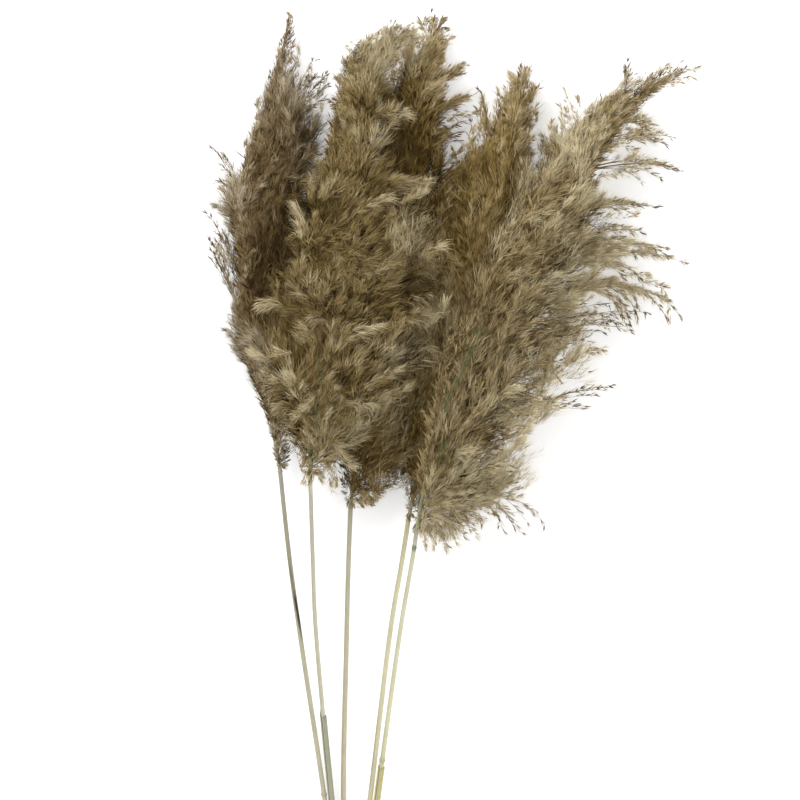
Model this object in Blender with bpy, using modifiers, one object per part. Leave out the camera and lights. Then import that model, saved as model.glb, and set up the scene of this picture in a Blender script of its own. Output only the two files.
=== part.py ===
"""A loose bunch of five dried pampas plumes on straw stems, lying on its side.

Seen from above, +X is to the right and +Y runs from the cut ends of the stems to the plume tips.
The origin is at the middle of the bunch, on the surface that it lies on.
All sizes below are in millimetres, and MM turns them into metres.
"""
import math
import random
from dataclasses import dataclass

import bmesh
import bpy
from mathutils import Vector

MM = 0.001

# Driving dimensions
SHIFT_X = 3.64
SHIFT_Y = 4.83
GAP = 0.3
STEM_RADIUS = 2.1
NODE_SWELL = 1.32
NODE_LENGTH = 2.4
SHEATH_WALL = 0.45
SHEATH_WRAP = math.radians(318)
CORE_SHARE = 0.60
CORE_SIDES = 8
CORE_RINGS = 9
LOCK_SIDES = 5
SPRAY_SIDES = 3
LOCK_RADIUS = 16.5
LOCK_FULL_SPREAD = 82.0
LOCK_FLATNESS = 0.72
SPRAY_RADIUS = 4.0
GOLDEN_ANGLE = math.radians(137.508)
LAYER_HEIGHT = 61.0
LAYER_SOFTNESS = 5.0
LAYER_GAP = 1.5
LARGEST_EXPONENT = 60.0

# A side branch, in shares of its spine or of its own run
FRAME_STEP = 0.01
BRANCH_RUN = 0.165
LOWEST_ROOT = 0.012
ROOT_RISE = 0.16
BEND_FORWARD = 0.58
BEND_LIFT = 0.22
BEND_OUTWARD = 0.34
SPRAY_BEND = 0.58
SPRAY_LIFT = 0.16
SPRAY_SAG = 0.45

# The locks of a plume
FIRST_LOCK = 0.03
LOCK_SPAN = 0.95
AZIMUTH_JITTER = 0.25
LOCK_REACH = (1.02, 1.24)
LOCK_THINNEST = 0.16
LOCK_SHAPE = ((0.0, 0.45), (0.52, 1.0), (0.80, 0.66))

# The core of a plume
CORE_END = 0.98
CORE_LEAST = 1.6
CORE_TURN = 0.3
CORE_FOOT = 1.3

# The right edge of the low layer, past which the high layer sinks to the surface
SHELF_EDGE = 36.0
SHELF_SLOPE = 40.0
SHELF_FOOT_Y = -75.0
SHELF_FOOT_RUN = 60.0

# The culms and their sheaths
STEM_STEPS = 7
STEM_TOP_GIRTH = 0.86
NODE_CLEARANCE = 3.0
SHEATH_SIDES = 9
SHEATH_STEPS = 4
SHEATH_END = 0.993
SHEATH_FRONT = math.radians(250)
SHEATH_SLANT = 3.0
SHEATH_ROOM = 0.45
SHEATH_STARTS = {"sheath_2": 0.62, "sheath_5": 0.695}
WELD_DISTANCE = 0.01
FLOOR_BLOCK_SIZE = 1400.0
FLOOR_BLOCK_DEPTH = 100.0


@dataclass
class Plume:
    """One seed head. A row of the spine is x, y, z, then the reach left, right, up and down."""
    name: str
    locks: int
    seed: int
    spine: tuple
    sprays: tuple
    layer: str
    sag: float


PLUMES = (
    Plume(
        name="plume_1", locks=25, seed=11, layer="low", sag=0.0,
        spine=(
            (-158, -15, 24, 2, 8, 5, 5),
            (-166, 41, 28, 7, 22, 16, 18),
            (-176, 101, 31, 22, 38, 24, 28),
            (-181, 165, 33, 28, 48, 25, 33),
            (-178, 233, 33, 30, 48, 25, 33),
            (-169, 297, 30, 23, 40, 22, 30),
            (-157, 357, 24, 10, 24, 15, 20),
            (-148, 405, 15, 2, 4, 4, 5),
        ),
        sprays=(
            (0.62, (-114, 342, 36)),
            (0.66, (-127, 353, 28)),
            (0.50, (-218, 275, 28)),
            (0.32, (-222, 214, 22)),
            (0.20, (-219, 188, 30)),
        ),
    ),
    Plume(
        name="plume_2", locks=27, seed=23, layer="high", sag=0.06,
        spine=(
            (-129, -21, 58, 3, 9, 5, 4),
            (-126, 28, 68, 26, 60, 24, 10),
            (-119, 91, 82, 50, 84, 32, 18),
            (-112, 157, 86, 48, 90, 34, 22),
            (-103, 224, 84, 40, 80, 32, 20),
            (-92, 286, 76, 27, 44, 25, 14),
            (-82, 333, 66, 20, 22, 18, 14),
            (-62, 363, 56, 13, 14, 12, 10),
            (-34, 375, 48, 2, 4, 4, 4),
        ),
        sprays=(
            (0.50, (-22, 240, 92)),
            (0.64, (-42, 303, 84)),
        ),
    ),
    Plume(
        name="plume_3", locks=23, seed=37, layer="low", sag=0.0,
        spine=(
            (-93, -50, 26, 4, 36, 6, 8),
            (-86, 10, 32, 20, 58, 20, 28),
            (-74, 78, 34, 34, 52, 23, 34),
            (-62, 142, 35, 34, 54, 23, 35),
            (-49, 210, 35, 34, 54, 23, 35),
            (-37, 274, 34, 32, 47, 23, 34),
            (-26, 329, 31, 24, 34, 19, 28),
            (-17, 370, 27, 18, 19, 14, 18),
            (-9, 398, 22, 3, 5, 4, 5),
        ),
        sprays=(
            (0.66, (14, 322, 40)),
            (0.74, (10, 349, 34)),
            (0.56, (14, 306, 30)),
        ),
    ),
    Plume(
        name="plume_4", locks=23, seed=41, layer="low", sag=0.0,
        spine=(
            (-40, -61, 30, 3, 4, 4, 5),
            (-27, 1, 34, 16, 18, 18, 26),
            (-10, 65, 36, 36, 28, 22, 36),
            (7, 128, 36, 46, 32, 22, 36),
            (24, 192, 36, 48, 33, 22, 36),
            (39, 247, 35, 46, 30, 22, 35),
            (51, 292, 32, 38, 18, 17, 27),
            (59, 324, 28, 22, 14, 12, 16),
            (67, 353, 24, 3, 4, 4, 5),
        ),
        sprays=(
            (0.60, (26, 324, 40)),
            (0.50, (17, 297, 30)),
            (0.44, (1, 272, 44)),
        ),
    ),
    Plume(
        name="plume_5", locks=29, seed=53, layer="high", sag=0.34,
        spine=(
            (-33, -71, 56, 8, 48, 7, 6),
            (-23, -17, 68, 16, 82, 24, 11),
            (-6, 46, 78, 26, 90, 32, 17),
            (18, 100, 82, 32, 92, 34, 20),
            (48, 154, 80, 32, 86, 33, 24),
            (83, 211, 68, 34, 62, 29, 26),
            (117, 262, 54, 34, 44, 24, 26),
            (146, 301, 43, 30, 30, 18, 22),
            (177, 326, 35, 14, 15, 12, 15),
            (218, 353, 26, 2, 4, 4, 5),
        ),
        sprays=(
            (0.76, (181, 297, 36)),
            (0.70, (199, 286, 28)),
            (0.64, (207, 256, 24)),
            (0.54, (187, 222, 26)),
            (0.47, (171, 200, 38)),
            (0.44, (211, 171, 24)),
            (0.36, (209, 123, 13)),
            (0.30, (178, 126, 22)),
            (0.24, (144, 118, 34)),
            (0.12, (146, 59, 30)),
            (0.02, (84, -67, 34)),
            (0.80, (156, 351, 50)),
        ),
    ),
)

# The line between the two plumes that lie side by side in the low layer
DIVIDE_LEFT = PLUMES[2]
DIVIDE_RIGHT = PLUMES[3]
DIVIDE_SHARE = 0.53
DIVIDE_GAP = 2.0
DIVIDE_SOFTNESS = 2.5


@dataclass
class Stem:
    """A culm: its route from under the plume to its cut end, its nodes along that, its girth."""
    name: str
    route: tuple
    nodes: tuple
    girth: float


STEMS = (
    Stem(
        name="stem_1", girth=1.0, nodes=(0.02, 0.743),
        route=((-149, -100, 19), (-139, -174, 14.5), (-117.5, -320, 6), (-108, -406, 2.5)),
    ),
    Stem(
        name="stem_2", girth=0.95, nodes=(0.03,),
        route=((-127, -99, 44), (-124, -173, 31), (-111, -320, 11), (-101.5, -398, 3.3)),
    ),
    Stem(
        name="stem_3", girth=1.0, nodes=(0.02,),
        route=((-95, -100, 22), (-97, -174, 16), (-100, -320, 6), (-94.5, -411, 2.4)),
    ),
    Stem(
        name="stem_4", girth=1.0, nodes=(0.03,),
        route=((-46, -100, 26), (-58, -174, 18), (-75.5, -320, 6.5), (-87, -394, 2.4)),
    ),
    Stem(
        name="stem_5", girth=0.97, nodes=(0.18, 0.684),
        route=((-37, -99, 50), (-49, -172, 36), (-69, -320, 12.5), (-80, -405, 3.4)),
    ),
)

COLOURS = {
    "plume_1": (0.110, 0.072, 0.036),
    "plume_2": (0.170, 0.128, 0.062),
    "plume_3": (0.120, 0.080, 0.036),
    "plume_4": (0.165, 0.108, 0.048),
    "plume_5": (0.215, 0.166, 0.098),
    "stem": (0.600, 0.550, 0.360),
    "sheath_2": (0.330, 0.335, 0.225),
    "sheath_5": (0.560, 0.480, 0.200),
}
ROUGHNESS = {"plume": 0.9, "stem": 0.55, "sheath_2": 0.7, "sheath_5": 0.6}


def blend_rows(rows, share):
    """A smooth curve through rows of numbers, at a share from 0 to 1 of its run."""
    last = len(rows) - 1
    place = min(max(share, 0.0), 1.0) * last
    cell = min(int(place), last - 1)
    u = place - cell
    before = rows[max(cell - 1, 0)]
    here = rows[cell]
    after = rows[cell + 1]
    beyond = rows[min(cell + 2, last)]
    mixed = []
    for a, b, c, d in zip(before, here, after, beyond):
        slope_in = (c - a) / 2
        slope_out = (d - b) / 2
        cubic = 2 * b - 2 * c + slope_in + slope_out
        square = -3 * b + 3 * c - 2 * slope_in - slope_out
        mixed.append(((cubic * u + square) * u + slope_in) * u + b)
    return mixed


def spine_frame(plume, share):
    """The point on the spine, the directions along, right and up there, and the reach each way."""
    row = blend_rows(plume.spine, share)
    ahead = Vector(blend_rows(plume.spine, share + FRAME_STEP)[:3])
    behind = Vector(blend_rows(plume.spine, share - FRAME_STEP)[:3])
    along = (ahead - behind).normalized()
    right = along.cross(Vector((0, 0, 1))).normalized()
    up = right.cross(along)
    return Vector(row[:3]), along, right, up, row[3:]


def branch(plume, share, azimuth, reach_share):
    """A side branch's root, bend and tip, where azimuth 0 points right and a quarter turn up."""
    place, along, right, up, reach = spine_frame(plume, share)
    across = math.cos(azimuth)
    rise = math.sin(azimuth)
    sideways = across * (reach[1] if across > 0 else reach[0]) * reach_share
    height = rise * (reach[2] if rise > 0 else reach[3]) * reach_share
    sink = plume.sag * max(sideways, 0.0)
    tip = place + right * sideways + up * height - Vector((0, 0, sink))
    root_share = max(LOWEST_ROOT + ROOT_RISE * share, share - BRANCH_RUN)
    root, root_along = spine_frame(plume, root_share)[:2]
    run = tip - root
    forward = run.dot(root_along)
    outward = run - root_along * forward
    rise_along = BEND_FORWARD * abs(forward) + BEND_LIFT * outward.length
    bend = root + root_along * rise_along + outward * BEND_OUTWARD
    return root, bend, tip


def spray(plume, root_share, tip):
    """A long loose side branch that leaves the spine at root_share and nods over to its tip."""
    root, along = spine_frame(plume, root_share)[:2]
    tip = Vector(tip)
    run = tip - root
    bend = root + run * SPRAY_BEND + along * (SPRAY_LIFT * run.length)
    bend.z = max(bend.z, root.z * (1 - SPRAY_SAG) + tip.z * SPRAY_SAG)
    return root, bend, tip


def lock_places(plume):
    """The share along the spine, the azimuth and the reach of every lock of a plume."""
    draw = random.Random(plume.seed)
    places = []
    for number in range(plume.locks):
        share = FIRST_LOCK + LOCK_SPAN * (number + 0.5) / plume.locks
        azimuth = number * GOLDEN_ANGLE + draw.uniform(-AZIMUTH_JITTER, AZIMUTH_JITTER)
        places.append((share, azimuth, draw.uniform(*LOCK_REACH)))
    return places


def curve_point(root, bend, tip, u):
    return root * (1 - u) ** 2 + bend * (2 * u * (1 - u)) + tip * u ** 2


def curve_slope(root, bend, tip, u):
    return ((bend - root) * (1 - u) + (tip - bend) * u).normalized()


def soft_above(value, limit, softness):
    """Value where it is well above the limit, and bent to stay above it elsewhere."""
    steps_above = min((value - limit) / softness, LARGEST_EXPONENT)
    return limit + softness * math.log1p(math.exp(steps_above))


def spine_x(plume, y):
    """The x of a plume's spine at a height y of the bunch."""
    rows = plume.spine
    if y <= rows[0][1]:
        return rows[0][0]
    for low, high in zip(rows, rows[1:]):
        if y <= high[1]:
            return low[0] + (high[0] - low[0]) * (y - low[1]) / (high[1] - low[1])
    return rows[-1][0]


def divide_x(y):
    """The x of the line between the two plumes that lie side by side, at a height y of the bunch."""
    return spine_x(DIVIDE_LEFT, y) * (1 - DIVIDE_SHARE) + spine_x(DIVIDE_RIGHT, y) * DIVIDE_SHARE


def shelf_height(point):
    """How high the low plumes carry the high ones: nothing lies under the right of the bunch."""
    past = (point.x - spine_x(DIVIDE_RIGHT, point.y) - SHELF_EDGE) / SHELF_SLOPE
    fall = min(max(past, 0.0), 1.0)
    foot = min(max((point.y - SHELF_FOOT_Y) / SHELF_FOOT_RUN, 0.0), 1.0)
    return LAYER_HEIGHT * (1 - fall * fall * (3 - 2 * fall)) * foot


def settle(plume, point):
    """Bends the space of a plume so that it keeps to its own layer and its own side."""
    x, y, z = point
    if plume.layer == "low":
        ceiling = LAYER_HEIGHT - LAYER_GAP
        z = ceiling - soft_above(ceiling - z, 0.0, LAYER_SOFTNESS)
        if plume is DIVIDE_LEFT:
            wall = divide_x(y) - DIVIDE_GAP / 2
            x = wall - soft_above(wall - x, 0.0, DIVIDE_SOFTNESS)
        if plume is DIVIDE_RIGHT:
            wall = divide_x(y) + DIVIDE_GAP / 2
            x = wall + soft_above(x - wall, 0.0, DIVIDE_SOFTNESS)
    else:
        floor = shelf_height(point) + LAYER_GAP
        z = floor + soft_above(z - floor, 0.0, LAYER_SOFTNESS)
    return Vector((x, y, z))


def world(point):
    return Vector((point[0] + SHIFT_X, point[1] + SHIFT_Y, point[2])) * MM


def loft(mesh, rings, tip=None):
    """A closed skin over rings of equally many points, with flat ends or a point at the end."""
    loops = [[mesh.verts.new(world(point)) for point in ring] for ring in rings]
    count = len(loops[0])
    mesh.faces.new(list(reversed(loops[0])))
    for low, high in zip(loops, loops[1:]):
        for side in range(count):
            after = (side + 1) % count
            mesh.faces.new((low[side], low[after], high[after], high[side]))
    if tip is None:
        mesh.faces.new(loops[-1])
        return
    end = mesh.verts.new(world(tip))
    for side in range(count):
        mesh.faces.new((loops[-1][side], loops[-1][(side + 1) % count], end))


def add_core(mesh, plume):
    """The dense middle of the plume, from the stem's top to the tip."""
    rings = []
    for number in range(CORE_RINGS):
        share = CORE_END * number / (CORE_RINGS - 1)
        place, along, right, up, reach = spine_frame(plume, share)
        inner_reach = [max(length * CORE_SHARE, CORE_LEAST) for length in reach]
        left_reach, right_reach, up_reach, down_reach = inner_reach
        ring = []
        for side in range(CORE_SIDES):
            angle = 2 * math.pi * side / CORE_SIDES + CORE_TURN
            across = math.cos(angle)
            rise = math.sin(angle)
            sideways = across * (right_reach if across > 0 else left_reach)
            height = rise * (up_reach if rise > 0 else down_reach)
            point = place + right * sideways + up * height
            point.z -= plume.sag * max(sideways, 0.0)
            if number == 0:
                point = place + (right * across + up * rise) * STEM_RADIUS * CORE_FOOT
            ring.append(settle(plume, point))
        rings.append(ring)
    loft(mesh, rings)


def add_lock(mesh, plume, path, radius, sides):
    """One tapered tuft along a bent path: a blunt root, a full middle and a pointed tip."""
    root, bend, tip = path
    rings = []
    for u, girth in LOCK_SHAPE:
        place = curve_point(root, bend, tip, u)
        along = curve_slope(root, bend, tip, u)
        flat = along.cross(Vector((0, 0, 1))).normalized()
        thin = flat.cross(along)
        ring = []
        for side in range(sides):
            angle = 2 * math.pi * side / sides + math.pi / 2
            spread = flat * math.cos(angle) + thin * (math.sin(angle) * LOCK_FLATNESS)
            ring.append(settle(plume, place + spread * (radius * girth)))
        rings.append(ring)
    loft(mesh, rings, settle(plume, tip))


def make_material(name, colour, roughness):
    material = bpy.data.materials.new(name)
    material.use_nodes = True
    shader = material.node_tree.nodes["Principled BSDF"]
    shader.inputs["Base Color"].default_value = (*colour, 1.0)
    shader.inputs["Roughness"].default_value = roughness
    shader.inputs["Metallic"].default_value = 0.0
    return material


def make_object(name, mesh, collection, material=None):
    thing = bpy.data.objects.new(name, mesh)
    collection.objects.link(thing)
    if material:
        mesh.materials.append(material)
    return thing


def make_plume(plume, parts, cutters, floor_block):
    """The core and the locks, joined in one solid and cut flat where they meet the surface."""
    core_mesh = bmesh.new()
    add_core(core_mesh, plume)
    bmesh.ops.recalc_face_normals(core_mesh, faces=core_mesh.faces)
    data = bpy.data.meshes.new(plume.name)
    core_mesh.to_mesh(data)
    core_mesh.free()
    fluff = make_material(plume.name, COLOURS[plume.name], ROUGHNESS["plume"])
    solid = make_object(plume.name, data, parts, fluff)

    locks_mesh = bmesh.new()
    for share, azimuth, reach_share in lock_places(plume):
        path = branch(plume, share, azimuth, reach_share)
        reach = spine_frame(plume, share)[4]
        fullness = min(1.0, LOCK_THINNEST + (reach[0] + reach[1]) / LOCK_FULL_SPREAD)
        add_lock(locks_mesh, plume, path, LOCK_RADIUS * fullness, LOCK_SIDES)
    for root_share, tip in plume.sprays:
        add_lock(locks_mesh, plume, spray(plume, root_share, tip), SPRAY_RADIUS, SPRAY_SIDES)
    bmesh.ops.recalc_face_normals(locks_mesh, faces=locks_mesh.faces)
    data = bpy.data.meshes.new(plume.name + "_locks")
    locks_mesh.to_mesh(data)
    locks_mesh.free()
    locks = make_object(plume.name + "_locks", data, cutters)
    locks.hide_render = True
    locks.display_type = "WIRE"

    join = solid.modifiers.new("join_locks", "BOOLEAN")
    join.operation = "UNION"
    join.solver = "EXACT"
    join.use_self = True
    join.object = locks
    trim = solid.modifiers.new("trim_floor", "BOOLEAN")
    trim.operation = "DIFFERENCE"
    trim.solver = "EXACT"
    trim.object = floor_block
    return solid


def stem_rows(stem, plume):
    """The culm's route from just under its plume to its cut end."""
    top, along = spine_frame(plume, 0.0)[:2]
    return (tuple(top - along * GAP), *stem.route)


def stem_frame(rows, share):
    """The point on the culm and the direction down it there."""
    ahead = Vector(blend_rows(rows, share + FRAME_STEP))
    behind = Vector(blend_rows(rows, share - FRAME_STEP))
    return Vector(blend_rows(rows, share)), (ahead - behind).normalized()


def stem_shares(stem, length):
    """The shares along the culm that its tube has points at, each with the girth there."""
    half = NODE_LENGTH / length
    shares = {number / STEM_STEPS: 1.0 for number in range(STEM_STEPS + 1)}
    for place in stem.nodes:
        for share in list(shares):
            if 0.0 < share < 1.0 and abs(share - place) <= NODE_CLEARANCE * half:
                del shares[share]
        shares.update({place - half: 1.0, place: NODE_SWELL, place + half: 1.0})
    return sorted(shares.items())


def make_stem(stem, plume, parts, material):
    """A straw tube with a swollen ring at each of its nodes."""
    rows = stem_rows(stem, plume)
    shares = stem_shares(stem, (Vector(rows[-1]) - Vector(rows[0])).length)
    curve = bpy.data.curves.new(stem.name, "CURVE")
    curve.dimensions = "3D"
    curve.bevel_depth = STEM_RADIUS * stem.girth * MM
    curve.bevel_resolution = 2
    curve.resolution_u = 1
    curve.render_resolution_u = 0
    curve.use_fill_caps = True
    line = curve.splines.new("POLY")
    line.points.add(len(shares) - 1)
    for point, (share, girth) in zip(line.points, shares):
        point.co = (*world(blend_rows(rows, share)), 1.0)
        point.radius = girth * (STEM_TOP_GIRTH + (1 - STEM_TOP_GIRTH) * share)
    curve.materials.append(material)
    thing = bpy.data.objects.new(stem.name, curve)
    parts.objects.link(thing)
    weld = thing.modifiers.new("weld_caps", "WELD")
    weld.merge_threshold = WELD_DISTANCE * MM
    return thing


def make_sheath(name, stem, plume, parts, material):
    """A dried leaf sheath: a rolled strip round the culm, open along one seam."""
    rows = stem_rows(stem, plume)
    inner = STEM_RADIUS * stem.girth + SHEATH_ROOM
    start = SHEATH_STARTS[name]
    mesh = bmesh.new()
    loops = []
    for step in range(SHEATH_STEPS + 1):
        place, along = stem_frame(rows, start + (SHEATH_END - start) * step / SHEATH_STEPS)
        flat = along.cross(Vector((0, 0, 1))).normalized()
        rise = flat.cross(along)
        slant = SHEATH_SLANT if step == 0 else 0.0
        loop = []
        for side in range(SHEATH_SIDES + 1):
            from_front = SHEATH_WRAP * (side / SHEATH_SIDES - 0.5)
            angle = from_front + SHEATH_FRONT
            spread = flat * math.cos(angle) + rise * math.sin(angle)
            rim = along * (slant * math.cos(from_front))
            loop.append(mesh.verts.new(world(place + spread * inner - rim)))
        loops.append(loop)
    for low, high in zip(loops, loops[1:]):
        for side in range(SHEATH_SIDES):
            mesh.faces.new((low[side], high[side], high[side + 1], low[side + 1]))
    data = bpy.data.meshes.new(name)
    mesh.to_mesh(data)
    mesh.free()
    thing = make_object(name, data, parts, material)
    wall = thing.modifiers.new("wall", "SOLIDIFY")
    wall.thickness = SHEATH_WALL * MM
    wall.offset = 1.0
    return thing


def make_floor_block(cutters):
    """The block below the surface, which trims what would sink into it."""
    bpy.ops.mesh.primitive_cube_add(size=1.0, location=(0, 0, -FLOOR_BLOCK_DEPTH * MM / 2))
    block = bpy.context.object
    block.name = "floor_block"
    block.scale = Vector((FLOOR_BLOCK_SIZE, FLOOR_BLOCK_SIZE, FLOOR_BLOCK_DEPTH)) * MM
    block.hide_render = True
    block.display_type = "WIRE"
    for holder in list(block.users_collection):
        holder.objects.unlink(block)
    cutters.objects.link(block)
    return block


def main():
    for thing in list(bpy.data.objects):
        bpy.data.objects.remove(thing, do_unlink=True)
    parts = bpy.data.collections.new("dried_pampas_bunch")
    cutters = bpy.data.collections.new("cutters")
    bpy.context.scene.collection.children.link(parts)
    bpy.context.scene.collection.children.link(cutters)

    floor_block = make_floor_block(cutters)
    for plume in PLUMES:
        make_plume(plume, parts, cutters, floor_block)
    straw = make_material("stem", COLOURS["stem"], ROUGHNESS["stem"])
    for stem, plume in zip(STEMS, PLUMES):
        make_stem(stem, plume, parts, straw)
    for name, number in (("sheath_2", 1), ("sheath_5", 4)):
        leaf = make_material(name, COLOURS[name], ROUGHNESS[name])
        make_sheath(name, STEMS[number], PLUMES[number], parts, leaf)


main()
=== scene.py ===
"""Looks of a loose bunch of five dried pampas plumes on straw stems.

Each plume is a mesh of silky hairs and brown husks, grown in tufts along the side branches.
Lengths in the tables below are in millimetres, and MM turns them into metres.
"""

import math
import random
from dataclasses import dataclass

import bpy
import numpy as np
from bpy.props import FloatProperty, FloatVectorProperty, IntProperty, PointerProperty
from bpy.types import Operator, Panel, PropertyGroup
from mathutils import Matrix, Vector


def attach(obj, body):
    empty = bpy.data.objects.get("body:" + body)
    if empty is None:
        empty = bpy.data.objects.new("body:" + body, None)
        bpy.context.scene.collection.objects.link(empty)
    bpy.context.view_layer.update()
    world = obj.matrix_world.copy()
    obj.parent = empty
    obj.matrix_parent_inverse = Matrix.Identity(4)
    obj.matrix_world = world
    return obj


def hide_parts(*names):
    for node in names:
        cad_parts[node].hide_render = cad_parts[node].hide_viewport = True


bl_info = {
    "name": "Dried Pampas Bunch",
    "version": (1, 0, 0),
    "blender": (4, 5, 0),
    "location": "View3D > Sidebar > Pampas",
    "description": "Dresses a bunch of dried pampas plumes with silky fluff, straw stems and leaf sheaths",
    "category": "Object",
}

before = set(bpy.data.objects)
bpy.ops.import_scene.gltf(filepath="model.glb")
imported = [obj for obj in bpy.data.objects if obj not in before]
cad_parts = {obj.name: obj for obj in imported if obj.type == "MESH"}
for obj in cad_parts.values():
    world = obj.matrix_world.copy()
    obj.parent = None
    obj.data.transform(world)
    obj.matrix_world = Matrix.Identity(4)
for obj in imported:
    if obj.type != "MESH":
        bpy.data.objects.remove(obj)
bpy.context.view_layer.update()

MM = 0.001
SHIFT = np.array((3.64, 4.83, 0.0))
GOLDEN_ANGLE = math.radians(137.508)
UP = np.array((0.0, 0.0, 1.0))
# These keep a direction from having no length
SHORTEST = 1e-9
SLIGHT_RISE = 1e-4

# A side branch, in shares of its spine or of its own run
FRAME_STEP = 0.01
BRANCH_RUN = 0.165
LOWEST_ROOT = 0.012
ROOT_RISE = 0.16
BEND_FORWARD = 0.58
BEND_LIFT = 0.22
BEND_OUTWARD = 0.34
SPRAY_BEND = 0.58
SPRAY_LIFT = 0.16
SPRAY_SAG = 0.45
FIRST_LOCK = 0.03
LOCK_SPAN = 0.95
AZIMUTH_JITTER = 0.25
LOCK_REACH = (1.02, 1.24)

# The two loose layers that the plumes lie in
LAYER_HEIGHT = 61.0
LAYER_SOFTNESS = 5.0
SHELF_PLUME = 3
SHELF_EDGE = 36.0
SHELF_SLOPE = 40.0
SHELF_FOOT_Y = -75.0
SHELF_FOOT_RUN = 60.0
FLOOR_CLEARANCE = 0.4
CEILING = 131.0
CEILING_SOFTNESS = 2.5

# The finer side branches, and the short ones beside a loose one
FINE_TURN = 1.37
FINE_JITTER = 0.5
FINE_REACH = (0.70, 1.18)
RIM_LIMITS = (0.4, 1.5)
SPRAY_SISTERS = 5
SISTER_SWAY = 0.09
SISTER_RISE = (-7.0, 5.0)
SISTER_RUN = (0.60, 0.95)
PLAIN_SPRAY = (1.0, 0.0)

# Places along a plume
TONE_SHARES = (0.0, 0.33, 0.66, 1.0)
TAPER_SHARES = (0.0, 0.10, 0.86, 1.0)
TIP_HAIR = 0.60
SPINE_SAMPLES = np.linspace(0.0, 1.0, 120)
LYING = np.array((1.0, 1.0, 0.55))
PATCH_SHORTEST = 17.0
PATCH_LONGEST = 60.0
PATCH_WAVES = 9
DRIFT_WAVES = (34.0, 105.0)
SEED_STEP = 7

# Places through a plume's body
BODY_TRIES = 4
BODY_END = 0.98
BODY_CORE = 0.06
BODY_FILL = 0.96
NARROWEST = 2.0
THIN_START = 0.72
THIN_RUN = 0.16
THIN_FULLNESS = 0.6
RIM_WEIGHT = 0.45
UNDERSIDE = -0.3
UNDERSIDE_WEIGHT = 0.5
RAGGED = 0.15
RAGGED_WAVES = (12.0, 44.0)
PATCH_WEIGHT = 0.7
FINE_PATCH_WEIGHT = 0.5
FINE_PATCH_WAVES = (8.0, 20.0)
HOLLOW_START = 0.6
HOLLOW_SINK = 8.0
BRANCH_END = 0.92
FOOT_RUN = 0.10
BODY_FLOW = 0.7
BODY_CURL = (0.4, 1.3)
PARTED_FULLNESS = 0.08
BODY_SHADE = 0.20
# Painted shade, by which the fluff grows darker towards the core of its plume
PAINTED_CORE_SHADE = 0.24
PATCH_SHADE = 0.16
# Painted light on the sides of the rim
RIM_PAINTED_LIGHT = 0.32
RIM_START = 0.78
RIM_RUN = 0.22

# Tufts along the side branches
BARE_RUN = 0.35
FEWEST_TUFTS = 3
PLACE_JITTER = 0.02
BRANCH_LEAN = (30, 12)
LEAN_SHARE = (0.3, 1.0)
BRANCH_FLOW = 0.35
BRANCH_CURL = (0.3, 1.2)
TIP_FORWARD = 0.6
LOOSE_FACING = 0.6
FACE_UP = 0.5
SMALLEST_REACH = 6.0
TUFT_SHARES = (0.35, 0.7, 1.0)
TUFT_LENGTHS = (14.0, 12.0, 8.0)
TUFT_SPREAD = (0.7, 1.2)
LOOSE_SHORTENING = 0.30
LOOSE_THINNING = (0.0, 0.45)
LOOSE_SHARES = (0.45, 1.0)
THINNEST = 0.80
HUSKS = (3, 1)
HUSKED_THINNESS = 0.25
HUSKED_START = 0.08
TIP_START = 0.76
TIP_RUN = 0.16
TIP_THINNING = 0.9
OPEN_START = 0.62
OPEN_RUN = 0.38
OPEN_OUTNESS = 0.5
OPEN_AMOUNT = 1.6
BRANCH_SHADE = 0.27
# Painted shade on the tufts nearer the spine
BRANCH_PAINTED_CORE_SHADE = 0.20
BRANCH_PATCH_SHADE = 0.13
LIGHT_TUFT_ODDS = 0.12
LIGHT_TUFT_SHADE = 0.18
# Painted light in thin, open fluff
THIN_PAINTED_LIGHT = 0.25
BRANCH_GIRTH = 2.4
BRANCH_OUTERMOST = 1.3
BRANCH_SHADE_SPREAD = 0.10
LOOSE_FULLNESS = 2.0
LOOSE_SHADE = 0.10
LOOSE_NARROWING = 0.7
FIRM_FULLNESS = 0.8

# Fur, locks and brushes
FUR_LEAN = (2, 24)
FUR_LENGTHS = (3.0, 8.0)
FUR_SHADE_SPREAD = 0.15
FUR_GIRTH = 2.0
FUR_HUSK_ODDS = 0.08
FUR_CORE_FULLNESS = 0.4
FUR_SMALLEST = 0.45
FUR_SINK = 0.6
FUR_FINEST = 0.5
WIDE_BODY = 34.0
WIDE_FUR = 26.0
RIM_HAIR = 0.35
RIM_THINNING = 0.25
LOCK_LEAN = (0, 20)
LOCK_LENGTHS = (18.0, 36.0)
LOCK_GIRTHS = (0.10, 0.17)
LOCK_SHADE_SPREAD = 0.13
LIGHT_LOCK_ODDS = 0.10
LIGHT_LOCK_SHADE = 0.16
LOCK_HAIR = 0.85
LOCK_SMALLEST = 0.40
LOCK_OUTSIDE = 0.86
LOCK_HUSK_ODDS = (0.25, 0.02)
BRUSH_TUFTS = 24
BRUSH_LEAN = 0.30
BRUSH_FOOT = 0.10
BRUSH_SWELL = 0.84
BRUSH_PAINTED_TIP_LIGHT = 0.30
BRUSH_EVEN = 0.45
BRUSH_PAINTED_TOP_LIGHT = 0.15
BRUSH_SHADE_SPREAD = 0.09
BRUSH_LENGTHS = (2.5, 5.0)
BRUSH_GIRTH = 0.8
BRUSH_HUSKS = 0.5
FACE_CROWN = 0.96
FACE_LOWEST = 0.04
STANDING_DEPTH = 4.0
STANDING_RISE = 2.0
STANDING_BOW = 0.22
STANDING_CURL = 0.45
STANDING_RUN = 0.92
STANDING_TILT = 0.1
STANDING_SHADE_SPREAD = 0.06
CURL_LOOKS = {"girth": 4.4, "fullness": 1.3, "shade": 0.74, "hair": 0.95, "husk_odds": 0.0}
TUFT_LOOKS = {"girth": 2.4, "fullness": 0.8, "shade": 0.62, "hair": 0.70, "husk_odds": 0.4}

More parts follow.
